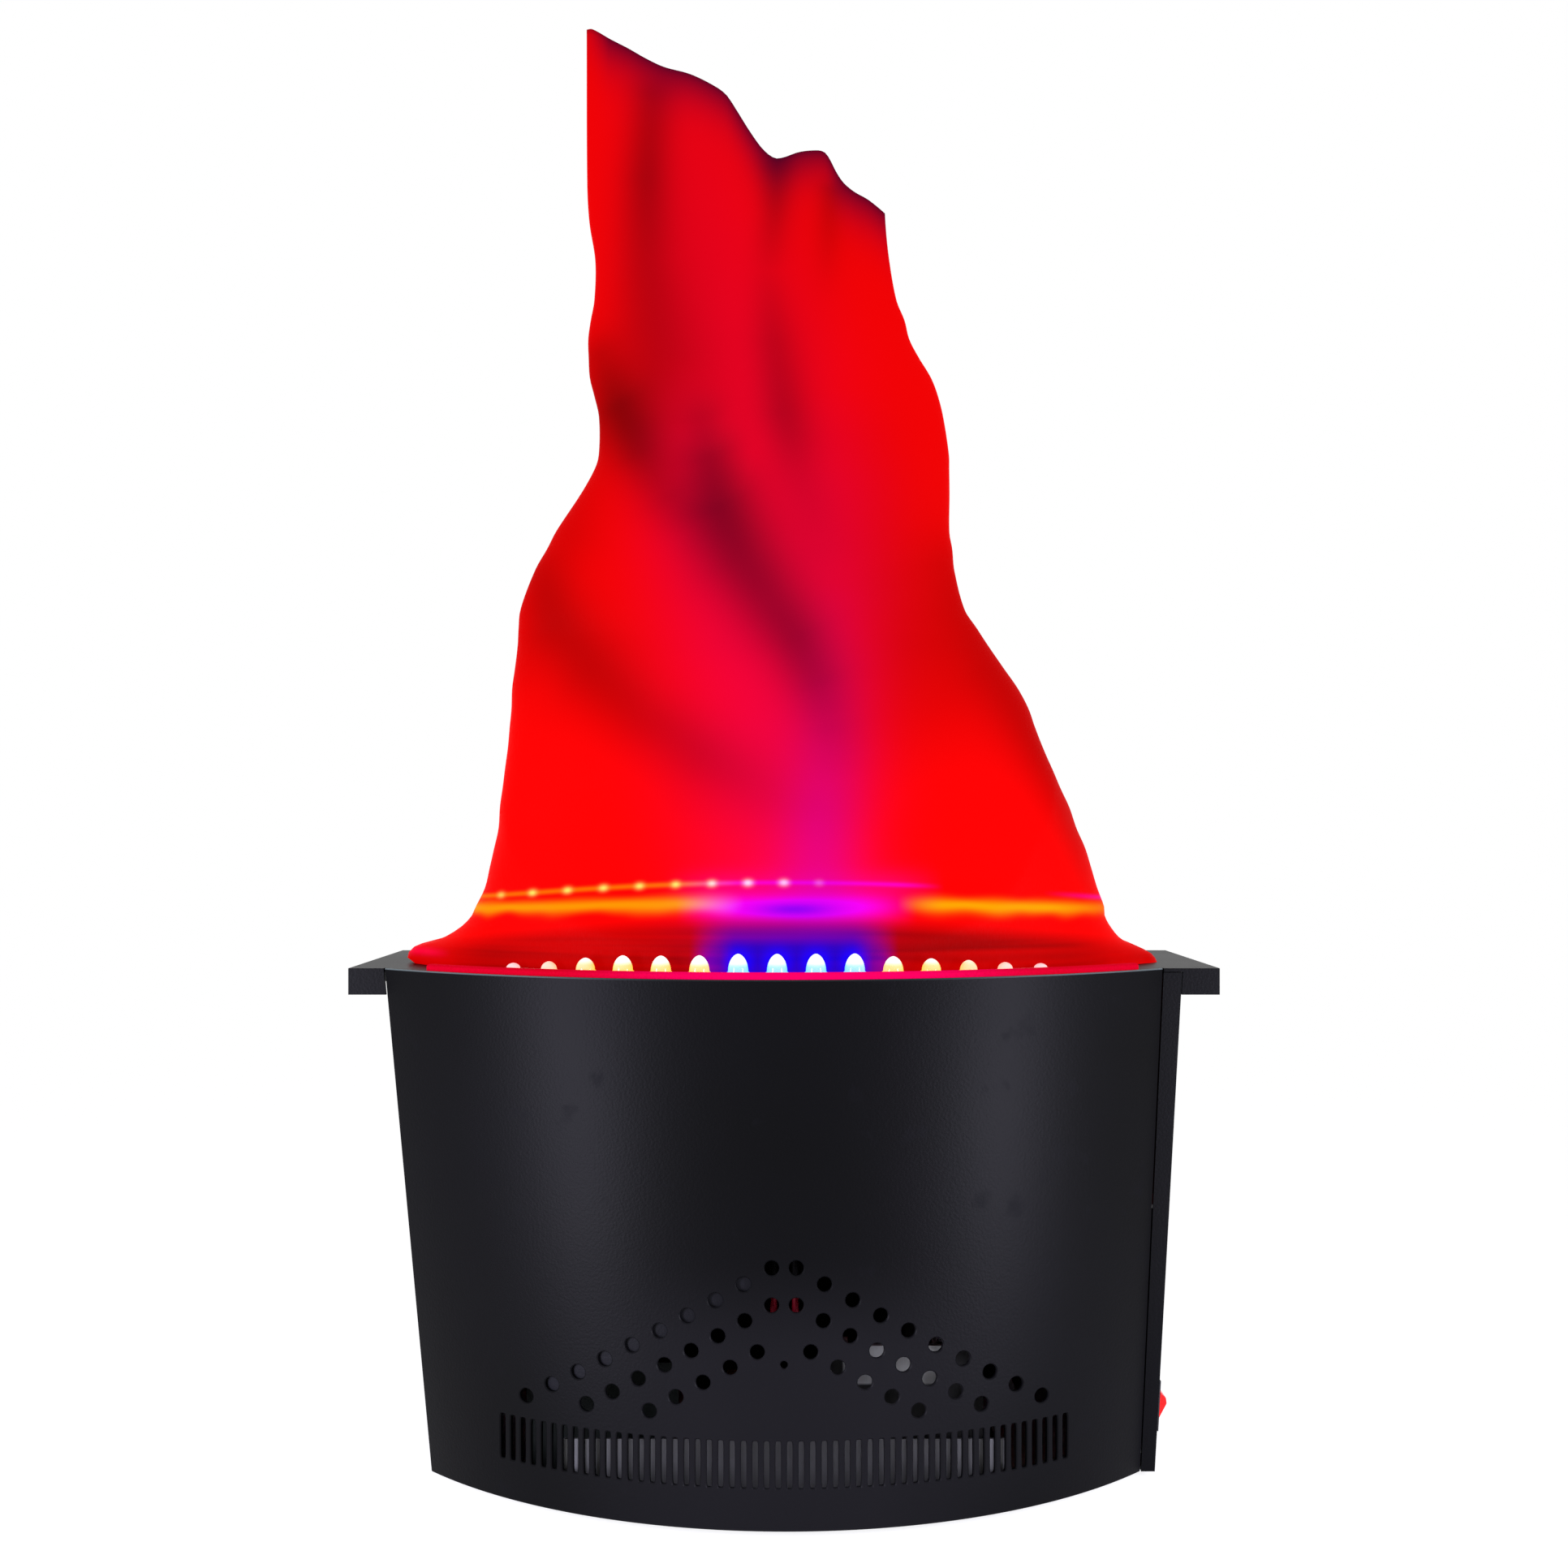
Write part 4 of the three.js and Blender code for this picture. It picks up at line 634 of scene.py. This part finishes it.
# The cooler light of the middle lamps climbs the cloth through points of the same kind
cool_light = [
    [(-0.045, 0.570, 0.030, 0.006), (-0.030, 0.510, 0.035, 0.012), (-0.014, 0.450, 0.037, 0.020),
     (-0.008, 0.400, 0.038, 0.028), (-0.006, 0.350, 0.037, 0.040), (-0.006, 0.310, 0.034, 0.052),
     (0.000, 0.250, 0.030, 0.056)],
    [(0.020, 0.372, 0.010, 0.0), (0.020, 0.335, 0.015, 0.034), (0.018, 0.300, 0.016, 0.100),
     (0.015, 0.270, 0.015, 0.170), (0.014, 0.246, 0.016, 0.195)],
    [(-0.044, 0.465, 0.012, 0.0), (-0.043, 0.430, 0.017, 0.013), (-0.040, 0.390, 0.018, 0.017),
     (-0.030, 0.350, 0.018, 0.010), (-0.020, 0.320, 0.018, 0.0)],
    [(0.018, 0.455, 0.016, 0.0), (0.020, 0.410, 0.020, 0.012), (0.022, 0.365, 0.019, 0.020),
     (0.024, 0.335, 0.017, 0.012), (0.024, 0.310, 0.016, 0.0)],
]


def held(value):
    """The value, held between 0 and 1."""
    return min(max(value, 0), 1)


def curve_at(stops, at):
    """A smooth curve through stops of (place, value)."""
    k = 0
    while k + 2 < len(stops) and stops[k + 1][0] < at:
        k += 1
    (x0, y0), (x1, y1) = stops[k], stops[k + 1]
    before, after = stops[max(k - 1, 0)], stops[min(k + 2, len(stops) - 1)]
    slope0 = (y1 - before[1]) / (x1 - before[0])
    slope1 = (after[1] - y0) / (after[0] - x0)
    t = held((at - x0) / (x1 - x0))
    span = x1 - x0
    return ((2 * t ** 3 - 3 * t * t + 1) * y0 + (t ** 3 - 2 * t * t + t) * span * slope0
            + (3 * t * t - 2 * t ** 3) * y1 + (t ** 3 - t * t) * span * slope1)


side_curves = [[(row[0], row[k]) for row in side_shares] for k in (1, 2)]
depth_curves = [[(row[0], row[k]) for row in depth_shares] for k in (1, 2)]


def stroke_at(x, z, points):
    """How strong a stroke is at a place: its strength on its line, falling off to both sides."""
    strongest = 0
    for (x0, z0, half0, share0), (x1, z1, half1, share1) in zip(points, points[1:]):
        along = ((x - x0) * (x1 - x0) + (z - z0) * (z1 - z0)) / ((x1 - x0) ** 2 + (z1 - z0) ** 2)
        along = held(along)
        off = (x - between(x0, x1, along)) ** 2 + (z - between(z0, z1, along)) ** 2
        here = math.exp(-off / between(half0, half1, along) ** 2) * between(share0, share1, along)
        strongest = max(strongest, here)
    return strongest


# The bag settles on its hem and squares up low down, and its two cloths meet near the top
settled_share, squared_share, foot_square, top_square, pinch_power = 0.09, 0.35, 6, 2.2, 7
crowding = 0.7
ripple_depth, ripples_across, ripples_up, front_seed, rear_seed = 0.0012, 40, 14, 3, 9
# Painted shade: the cloth is dimmer above the glow of its foot and darkens towards its top seam,
# darkest on the edge
dim_from, dim_over, dimmed = 0.285, 0.06, 0.87
top_shade_depth, top_shade_reach, top_shade_power = 0.76, 0.0135, 1.4
edge_depth, edge_reach, top_shade_fade, top_shade_start = 0.45, 0.0016, 0.10, 0.25
cool_in_folds, cool_in_top_shade = 0.4, 0.022


def silk_point(index, row):
    """A point of the bag, the painted shade of its folds and top there, and the painted cool light on
    it.
    """
    turn = index / (silk_columns / 2)
    across = turn if turn <= 1 else 2 - turn
    in_front = 0 < turn < 1
    across = between(across, (1 - math.cos(across * math.pi)) / 2, crowding)
    share = row / silk_rows
    top = curve_at(top_shares, across) * silk_height
    z = rim_height + top * share
    up = top * share / silk_height
    left, right = (curve_at(curve, up) * silk_half for curve in side_curves)
    front, rear = (chord_y + curve_at(curve, up) * box_depth for curve in depth_curves)
    x = between(left, right, across)
    hem = front_at(min(max(x, -silk_half), silk_half), rim_height, silk_inset)
    settled = min(up / settled_share, 1)
    pinch = share ** pinch_power
    middle = (max(front, hem) + rear) / 2
    front = between(between(hem, max(front, hem), settled), middle - top_slit / 2, pinch)
    rear = between(rear, middle + top_slit / 2, pinch)
    square = between(foot_square, top_square, min(up / squared_share, 1))
    bulge = (1 - abs(2 * across - 1) ** square) ** (1 / square)
    y = between((front + rear) / 2, front if in_front else rear, bulge)
    strengths = [stroke_at(x, z, points) for points, _ in folds]
    ends = math.sin(math.pi * across) ** 0.5 * (1 - pinch)
    inward = sum(strength * depth for strength, (_, depth) in zip(strengths, folds)) * ends
    ripple = Vector((x * ripples_across, z * ripples_up, front_seed if in_front else rear_seed))
    inward += ripple_depth * noise.noise(ripple) * ends
    y += inward if in_front else -inward
    # Painted shade: dimmer above the foot's glow, and darker in the folds and dim places
    shade = between(1, dimmed, held((z - dim_from) / dim_over))
    for strength in strengths + [stroke_at(x, z, points) for points in dim_places]:
        shade *= 1 - strength
    # Painted shade towards the top seam, with a thin dark line on the edge itself
    gap = top * (1 - share)
    seam_and_top_shade = top_shade_depth * math.exp(-(gap / top_shade_reach) ** top_shade_power)
    seam_and_top_shade *= min(across / top_shade_fade + top_shade_start, 1)
    shade *= (1 - seam_and_top_shade) * (1 - edge_depth * math.exp(-(gap / edge_reach) ** 2))
    cool = sum(stroke_at(x, z, points) for points in cool_light)
    return (x, y, z), shade, cool * between(cool_in_folds, 1, shade) + cool_in_top_shade * seam_and_top_shade


def silk_flame():
    """The bag, closed along its top, with the painted shade and cool light of each point kept on it."""
    points, shades, cools = [], [], []
    for row in range(silk_rows + 1):
        for index in range(silk_columns):
            point, shade, cool = silk_point(index, row)
            points.append(point)
            shades.append(shade)
            cools.append(cool)
    faces = []
    for row in range(silk_rows):
        low = row * silk_columns
        for i in range(silk_columns):
            j = (i + 1) % silk_columns
            faces.append((low + i, low + j, low + silk_columns + j, low + silk_columns + i))
    crest = silk_rows * silk_columns
    half = silk_columns // 2
    faces.append((crest, crest + 1, crest + silk_columns - 1))
    for i in range(1, half - 1):
        faces.append((crest + i, crest + i + 1, crest + silk_columns - i - 1, crest + silk_columns - i))
    faces.append((crest + half - 1, crest + half, crest + half + 1))
    mesh = mesh_of("silk_flame", points, faces)
    mesh.attributes.new("shade", "FLOAT", "POINT").data.foreach_set("value", shades)
    mesh.attributes.new("cool", "FLOAT", "POINT").data.foreach_set("value", cools)
    mesh.shade_smooth()
    return mesh


def near(value, at, reach):
    """1 where the value is at this place, falling to nothing past twice the reach."""
    return ((value - at) / reach).hill()


def lit_silk():
    """Red silk, its glow the painted light of the lamps: the row behind shows through as dots on a
    line.
    """
    material, start = blank("red silk")
    place = object_place(start)
    x, y, z = (place.part(axis) for axis in "XYZ")
    front = 1 - y.rise(0.015, 0.035)
    shade = start.node("Attribute", {"attribute_name": "shade"}, {}, "Fac")
    cool = start.node("Attribute", {"attribute_name": "cool"}, {}, "Fac")
    middle = x.between(-0.030, 0.040, 0.014)
    left = 1 - x.rise(-0.045, -0.015)
    right = x.rise(0.045, 0.065) * (1 - x.rise(0.105, 0.140) * 0.6)

    # Painted light: dots of the row behind and the thread that joins them, both lower towards the ends
    row_height, row_droop, thread_tall = 0.2482, 0.41, 0.0009
    first_dot, dot_pitch, dot_share, dot_tall = -0.117, 0.01463, 0.115, 0.0012
    line = z - (row_height - x * x * row_droop)
    step = (x - first_dot) / dot_pitch
    dot = ((step - step.math("ROUND")) / dot_share).hill() * (line / dot_tall).hill()
    dot = dot * x.between(-0.120, 0.006, 0.014)
    thread = (line / thread_tall).hill()

    # The painted orange band of light below it, violet in the middle with a blue core
    band_height, band_droop = 0.2402, 0.22
    waver = place.grain(38, 1) - 0.5
    band = z - (band_height - x * x * band_droop)
    band = ((band + waver * 0.0022) / (waver * 0.003 + 0.0023)).hill()
    painted_glow = near(z, 0.2385, 0.0042) * middle
    core = near(z, 0.2378, 0.0028) * near(x, 0.004, 0.017)
    blush = near(z, 0.2462, 0.0058) * x.between(-0.036, 0.052, 0.014)

    # The foot in painted shade, with fine wrinkles, and the four middle lamps' painted blue light on it
    streak = place.stretched((9, 9, 260)).grain(1, 1) - 0.5
    foot = (1 - (z + x * x * 0.55 + streak * 0.003).rise(0.2285, 0.2372)) * front
    # A painted highlight on top of the rolled hem at the left
    roll_highlight = (1 - x.rise(-0.152, -0.138)) * near(z, 0.2178, 0.0016)
    centre = x.between(-0.028, 0.036, 0.010) * front
    halo = (1 - z.rise(0.222, 0.2375)) * centre
    row = (x - lamp_shift) / lamp_pitch
    spot = ((row - row.math("ROUND")) / 0.36).hill() * near(z, 0.2175, 0.0050) * centre

    ends = 1 - x.between(-0.132, 0.132, 0.016)
    red = shade * (1 - foot * (1 - ends * 0.45) * (0.60 + streak * 0.7)) * (1 - cool * 0.9) + roll_highlight * 0.25
    red = (red * (1 - core * 0.75) + dot * 0.5) * (1 - halo * 0.92) * (1 - spot * 0.9)
    green = band * (left * 0.34 + right * 0.42) + thread * left * 0.16 + dot * 0.75
    blue = painted_glow * 0.95 + core * 0.9 + halo * 0.52 + cool + blush * 0.12 + spot * 0.9 + roll_highlight * 0.04
    blue = blue + thread * (1 - left) * (1 - right) * 0.45 + dot * (1 - left) * 0.5 + dot * 0.15
    glow_parts = {"Red": red.clip(), "Green": green.clip(), "Blue": blue.clip()}
    glowing = start.node("CombineColor", {}, glow_parts)
    # The cloth's red dye, darkened by the painted shade and under the painted blue halo
    dyed_and_shaded = (shade * (1 - halo)).mix((0.004, 0.0, 0.0), (0.11, 0.0, 0.0))
    weft = place.stretched((2600, 2600, 500)).grain(1, 0)
    finished(start, {
        "Base Color": dyed_and_shaded, "Roughness": weft * 0.2 + 0.55, "Specular IOR Level": 0.02,
        "Emission Color": glowing, "Emission Strength": 0.92, "Normal": weft.relief(0.00006),
    })
    return material


silk = piece_of("silk_flame_cloth", silk_flame(), lit_silk(), stands_for=["silk_flame"])

# Front lamps, their board and the touch tape
# Fifteen domed lamps stand on a white board that follows the rim. The strip of touch tape in front
# of them is loop cloth, which holds the hem; their light on it is painted in as its glow.
tape_inset, tape_width, tape_height = 0.0018, 0.0045, 0.0026
board_inset, board_width, board_thick = 0.0066, 0.009, 0.0016
lamp_radius, lamp_height = 0.0040, 0.0070
lamp_height_shares = [0.34, 0.5, 0.76, 0.94, 0.96, 1, 1.1, 1.1, 1.1, 1.1, 0.92, 0.76, 0.62, 0.44, 0.3]
tape_reach, board_margin = 0.146, 0.0078


def band_on_rim(name, low_x, high_x, inset, section):
    """A strip along the rim: its section is points of (way inward, way up)."""
    points, faces = [], []
    steps, count = 150, len(section)
    for i in range(steps + 1):
        x = between(low_x, high_x, i / steps)
        middle, radius, _, _ = bow_at(rim_height)
        angle = math.asin((x - middle) / radius)
        y = front_at(x, rim_height, inset)
        for inward, up in section:
            points.append((x - inward * math.sin(angle), y + inward * math.cos(angle), rim_height + up))
    for i in range(steps):
        for k in range(count):
            a, b = i * count + k, i * count + (k + 1) % count
            faces.append((a, b, b + count, a + count))
    faces.append(tuple(reversed(range(count))))
    faces.append(tuple(steps * count + k for k in range(count)))
    mesh = faced_out(mesh_of(name, points, faces))
    mesh.shade_smooth()
    mesh.set_sharp_from_angle(angle=math.radians(40))
    return mesh


def loop_tape():
    """Red loop cloth with the lamps' light painted in as its glow: pink in front of the cold ones."""
    material, start = blank("red loop tape")
    place = object_place(start)
    loops = place.grain(1400, 2)
    pink = place.part("X").between(-0.055, 0.075, 0.04)
    finished(start, {
        "Base Color": loops.mix((0.10, 0.0, 0.005), (0.30, 0.0, 0.015)), "Roughness": 0.9,
        "Specular IOR Level": 0.02,
        "Emission Color": (pink * (loops * 0.5 + 0.7)).mix((0.60, 0.0, 0.008), (1.0, 0.0, 0.15)),
        "Emission Strength": 0.85, "Normal": loops.relief(0.0003),
    })
    return material


def white_board(name):
    """White solder resist over glass fibre, with the faint lines of the copper below."""
    material, start = blank(name)
    place = object_place(start)
    copper = start.node("TexBrick", {"offset": 0.5}, {
        "Vector": place, "Scale": 120, "Mortar Size": 0.02, "Color1": (0.82, 0.82, 0.8, 1),
        "Color2": (0.74, 0.75, 0.73, 1), "Mortar": (0.6, 0.62, 0.58, 1)})
    finished(start, {
        "Base Color": copper, "Roughness": place.grain(90) * 0.2 + 0.3, "Specular IOR Level": 0.4,
        "Normal": place.grain(700).relief(0.00003),
    })
    return material


def lamp_lens(name, bottom, top):
    """Clear lenses, warm but for the four blue ones: white at the tip and coloured at the base."""
    material, start = blank(name)
    place = object_place(start)
    x = place.part("X")
    tip = place.part("Z").rise(bottom, top)
    cold = x.between(-0.0255, 0.0355, 0.0008)
    veiled = 1 - x.between(-0.090, 0.080, 0.022)
    base = cold.mix((1.0, 0.50, 0.0), (0.10, 0.55, 1.0))
    head = cold.mix((1.0, 0.98, 0.92), (0.92, 0.98, 1.0))
    lit = veiled.mix(tip.mix(base, head), (1.0, 0.42, 0.42))
    finished(start, {
        "Base Color": (0.3, 0.3, 0.3, 1), "Roughness": place.grain(300) * 0.1 + 0.08,
        "Specular IOR Level": 0.5, "Emission Color": lit, "Emission Strength": 1.15,
    })
    return material


def dome_lamps(name, places):
    """Lenses of one row: a flange and a tall dome each, narrower where they are low."""
    rings, sides, flange_share, flange_grown, dome_power = 7, 20, 0.10, 1.1, 1.15
    points, faces = [], []
    for x, y, z, height in places:
        flange = height * flange_share
        wide = lamp_radius * min(0.5 + 0.6 * height / lamp_height, 1)
        profile = [(wide * flange_grown, 0), (wide * flange_grown, flange * 0.7), (wide, flange)]
        for k in range(rings):
            angle = k / rings * math.pi / 2
            out = wide * math.cos(angle) ** dome_power
            profile.append((out, flange + (height - flange) * math.sin(angle)))
        first = len(points)
        for out, up in profile:
            for k in range(sides):
                turn = 2 * math.pi * k / sides
                points.append((x + out * math.cos(turn), y + out * math.sin(turn), z + up))
        points.append((x, y, z + height))
        tip = len(points) - 1
        for ring in range(len(profile) - 1):
            for k in range(sides):
                a, b = first + ring * sides + k, first + ring * sides + (k + 1) % sides
                faces.append((a, b, b + sides, a + sides))
        last = first + (len(profile) - 1) * sides
        faces += [(last + k, last + (k + 1) % sides, tip) for k in range(sides)]
        faces.append(tuple(first + k for k in reversed(range(sides))))
    mesh = mesh_of(name, points, faces)
    mesh.shade_smooth()
    mesh.set_sharp_from_angle(angle=math.radians(50))
    return mesh


tape_section = [(0, 0), (0, tape_height * 0.7), (0.0006, tape_height * 0.93), (0.0015, tape_height),
                (tape_width - 0.0012, tape_height), (tape_width, tape_height * 0.8), (tape_width, 0)]
tape_mesh = band_on_rim("touch_tape", -tape_reach, tape_reach, tape_inset, tape_section)
piece_of("touch_tape_strip", tape_mesh, loop_tape(), stands_for=["touch_tape"])

half_row = (len(lamp_height_shares) - 1) / 2
board_reach = half_row * lamp_pitch + board_margin
board_ends = lamp_shift - board_reach, lamp_shift + board_reach
board_section = [(0, 0), (0, board_thick), (board_width, board_thick), (board_width, 0)]
board_mesh = band_on_rim("front_light_strip", *board_ends, board_inset, board_section)
front_white = white_board("front board")
piece_of("front_light_strip", board_mesh, front_white, stands_for=["front_light_board"])

front_places = []
for i, height_share in enumerate(lamp_height_shares):
    lamp_x = lamp_shift + (i - half_row) * lamp_pitch
    lamp_y = front_at(lamp_x, rim_height, board_inset + board_width / 2)
    front_places.append((lamp_x, lamp_y, rim_height + board_thick, lamp_height * height_share))
colour_from, white_from = 0.0040, 0.0070
front_lens = lamp_lens("front lenses", rim_height + colour_from, rim_height + white_from)
piece_of("front_lamps", dome_lamps("front_lamps", front_places), front_lens)

# Hem ring, rear lamps and their bracket
# The hem is pressed round a folded steel ring on the deck. Behind it a bracket carries the rear row
# of lamps inside the silk.
dress("silk_collar", zinc)
rounded("rear_light_bracket", 0.0004, black_paint)
rear_dome = 0.004
_, rear_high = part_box("rear_light_board")
dress("rear_light_board", lamp_lens("rear lenses", rear_high.z - rear_dome, rear_high.z))

# Fan, its shelf, guard and screws
# A square axial fan of black moulded plastic hangs under the deck on a plated shelf, under a wire
# guard. Four long screws hold guard, frame and shelf together.


def moulded(name, colour, gloss=0.45, fine=900, painted_glow=(0, 0, 0)):
    """Moulded plastic with a fine grain, polished in patches, and a painted glow where one is given."""
    material, start = blank(name)
    place = object_place(start)
    patch = place.grain(30, 3)
    deep = [value * 0.75 for value in colour]
    finished(start, {
        "Base Color": patch.mix(deep, colour), "Roughness": patch * 0.15 + gloss,
        "Specular IOR Level": 0.35, "Normal": place.grain(fine, 1).relief(0.00005),
        "Emission Color": (*painted_glow, 1), "Emission Strength": 1.0,
    })
    return material


black_plastic = moulded("black plastic", (0.014, 0.014, 0.016))
bright_steel = zinc_plate("bright steel", 0.72)
for node in ("fan_shelf", "fan_stator", "fan_screw_1", "fan_screw_2", "fan_screw_3", "fan_screw_4"):
    dress(node, zinc)
for node in ("fan_guard", "fan_bearing"):
    dress(node, bright_steel)
for node in ("fan_frame", "fan_impeller"):
    dress(node, black_plastic)

# Rocker switch
# A panel switch in the right wall: a black bezel that snaps into the sheet, and a red rocker with
# two slopes that turns on its own pins.
# The rocker's glow is painted light that brightens its red
red_plastic = moulded("red rocker plastic", (0.8, 0.003, 0.003), 0.14, 400, (0.45, 0.0, 0.0))
rounded("switch_body", 0.0004, black_plastic)
rounded("switch_rocker", 0.0004, red_plastic, body="rocker")

# Mains inlet
# A three-pin inlet moulded in black, let into the back wall and held by two countersunk screws.
inlet_plastic = moulded("inlet plastic", (0.012, 0.012, 0.013), 0.4, 1200)
rounded("mains_inlet", 0.0004, inlet_plastic)
for side in ("left", "right"):
    rounded("inlet_screw_" + side, 0.0002, zinc)

# Power supply, light driver and what stands on them
# A green board on four standoffs carries the transformer, two capacitors, the terminals and a heat
# sink, painted dark as shade all round one lit patch. The light driver stands upright on a folded
# bracket.
green_board = moulded("green board", (0.002, 0.006, 0.004), 0.6, 200)
for node in ("standoff_1", "standoff_2", "standoff_3", "standoff_4", "earth_screw", "driver_bracket"):
    dress(node, zinc)
for node in ("supply_board", "driver_board"):
    dress(node, green_board)
dress("transformer", moulded("winding tape", (0.10, 0.07, 0.02), 0.45, 300))
# The heat sink is painted dark as shade, but for one lit patch of plated metal
lit_left, lit_right, lit_base = 0.0235, 0.066, 0.050
shaded_heat_sink = zinc_plate("heat sink in painted shade round a lit patch", 0.85, 0.8, (lit_left, lit_right, lit_base))
dress("heat_sink", shaded_heat_sink)
for node in ("capacitor_1", "capacitor_2"):
    dress(node, moulded(node + " sleeve", (0.02, 0.02, 0.03), 0.25, 200))
dress("terminal_block", moulded("grey plastic", (0.36, 0.37, 0.39)))

# Leads
# Thin insulated leads join the inlet, the switch, the boards, the fan and the lamps. The two of the
# fan are red and go up into black sleeves.


def sleeved_lead(name, colour, sleeve_from):
    """Red insulation that goes into a black shrunk sleeve above one height."""
    material, start = blank(name)
    place = object_place(start)
    sleeve = place.part("Z").rise(sleeve_from, sleeve_from + 0.0005)
    finished(start, {
        "Base Color": sleeve.mix(colour, (0.002, 0.002, 0.002)), "Roughness": sleeve * 0.2 + 0.5,
        "Specular IOR Level": 0.08, "Normal": place.grain(600).relief(0.00005),
    })
    return material


sleeve_base = 0.093
fan_lead = sleeved_lead("red fan lead", (0.15, 0.001, 0.008), sleeve_base)
for node in ("lead_fan_left", "lead_fan_right"):
    dress(node, fan_lead)
lead_colours = {
    "lead_live": (0.14, 0.05, 0.02), "lead_switched": (0.14, 0.05, 0.02),
    "lead_neutral": (0.02, 0.08, 0.4), "lead_earth": (0.3, 0.3, 0.3),
    "lead_front_light": (0.3, 0.3, 0.3), "lead_rear_light": (0.3, 0.3, 0.3),
    "lead_supply": (0.3, 0.3, 0.3),
}
for node, colour in lead_colours.items():
    dress(node, moulded(node + " sleeve", colour, 0.35, 600))
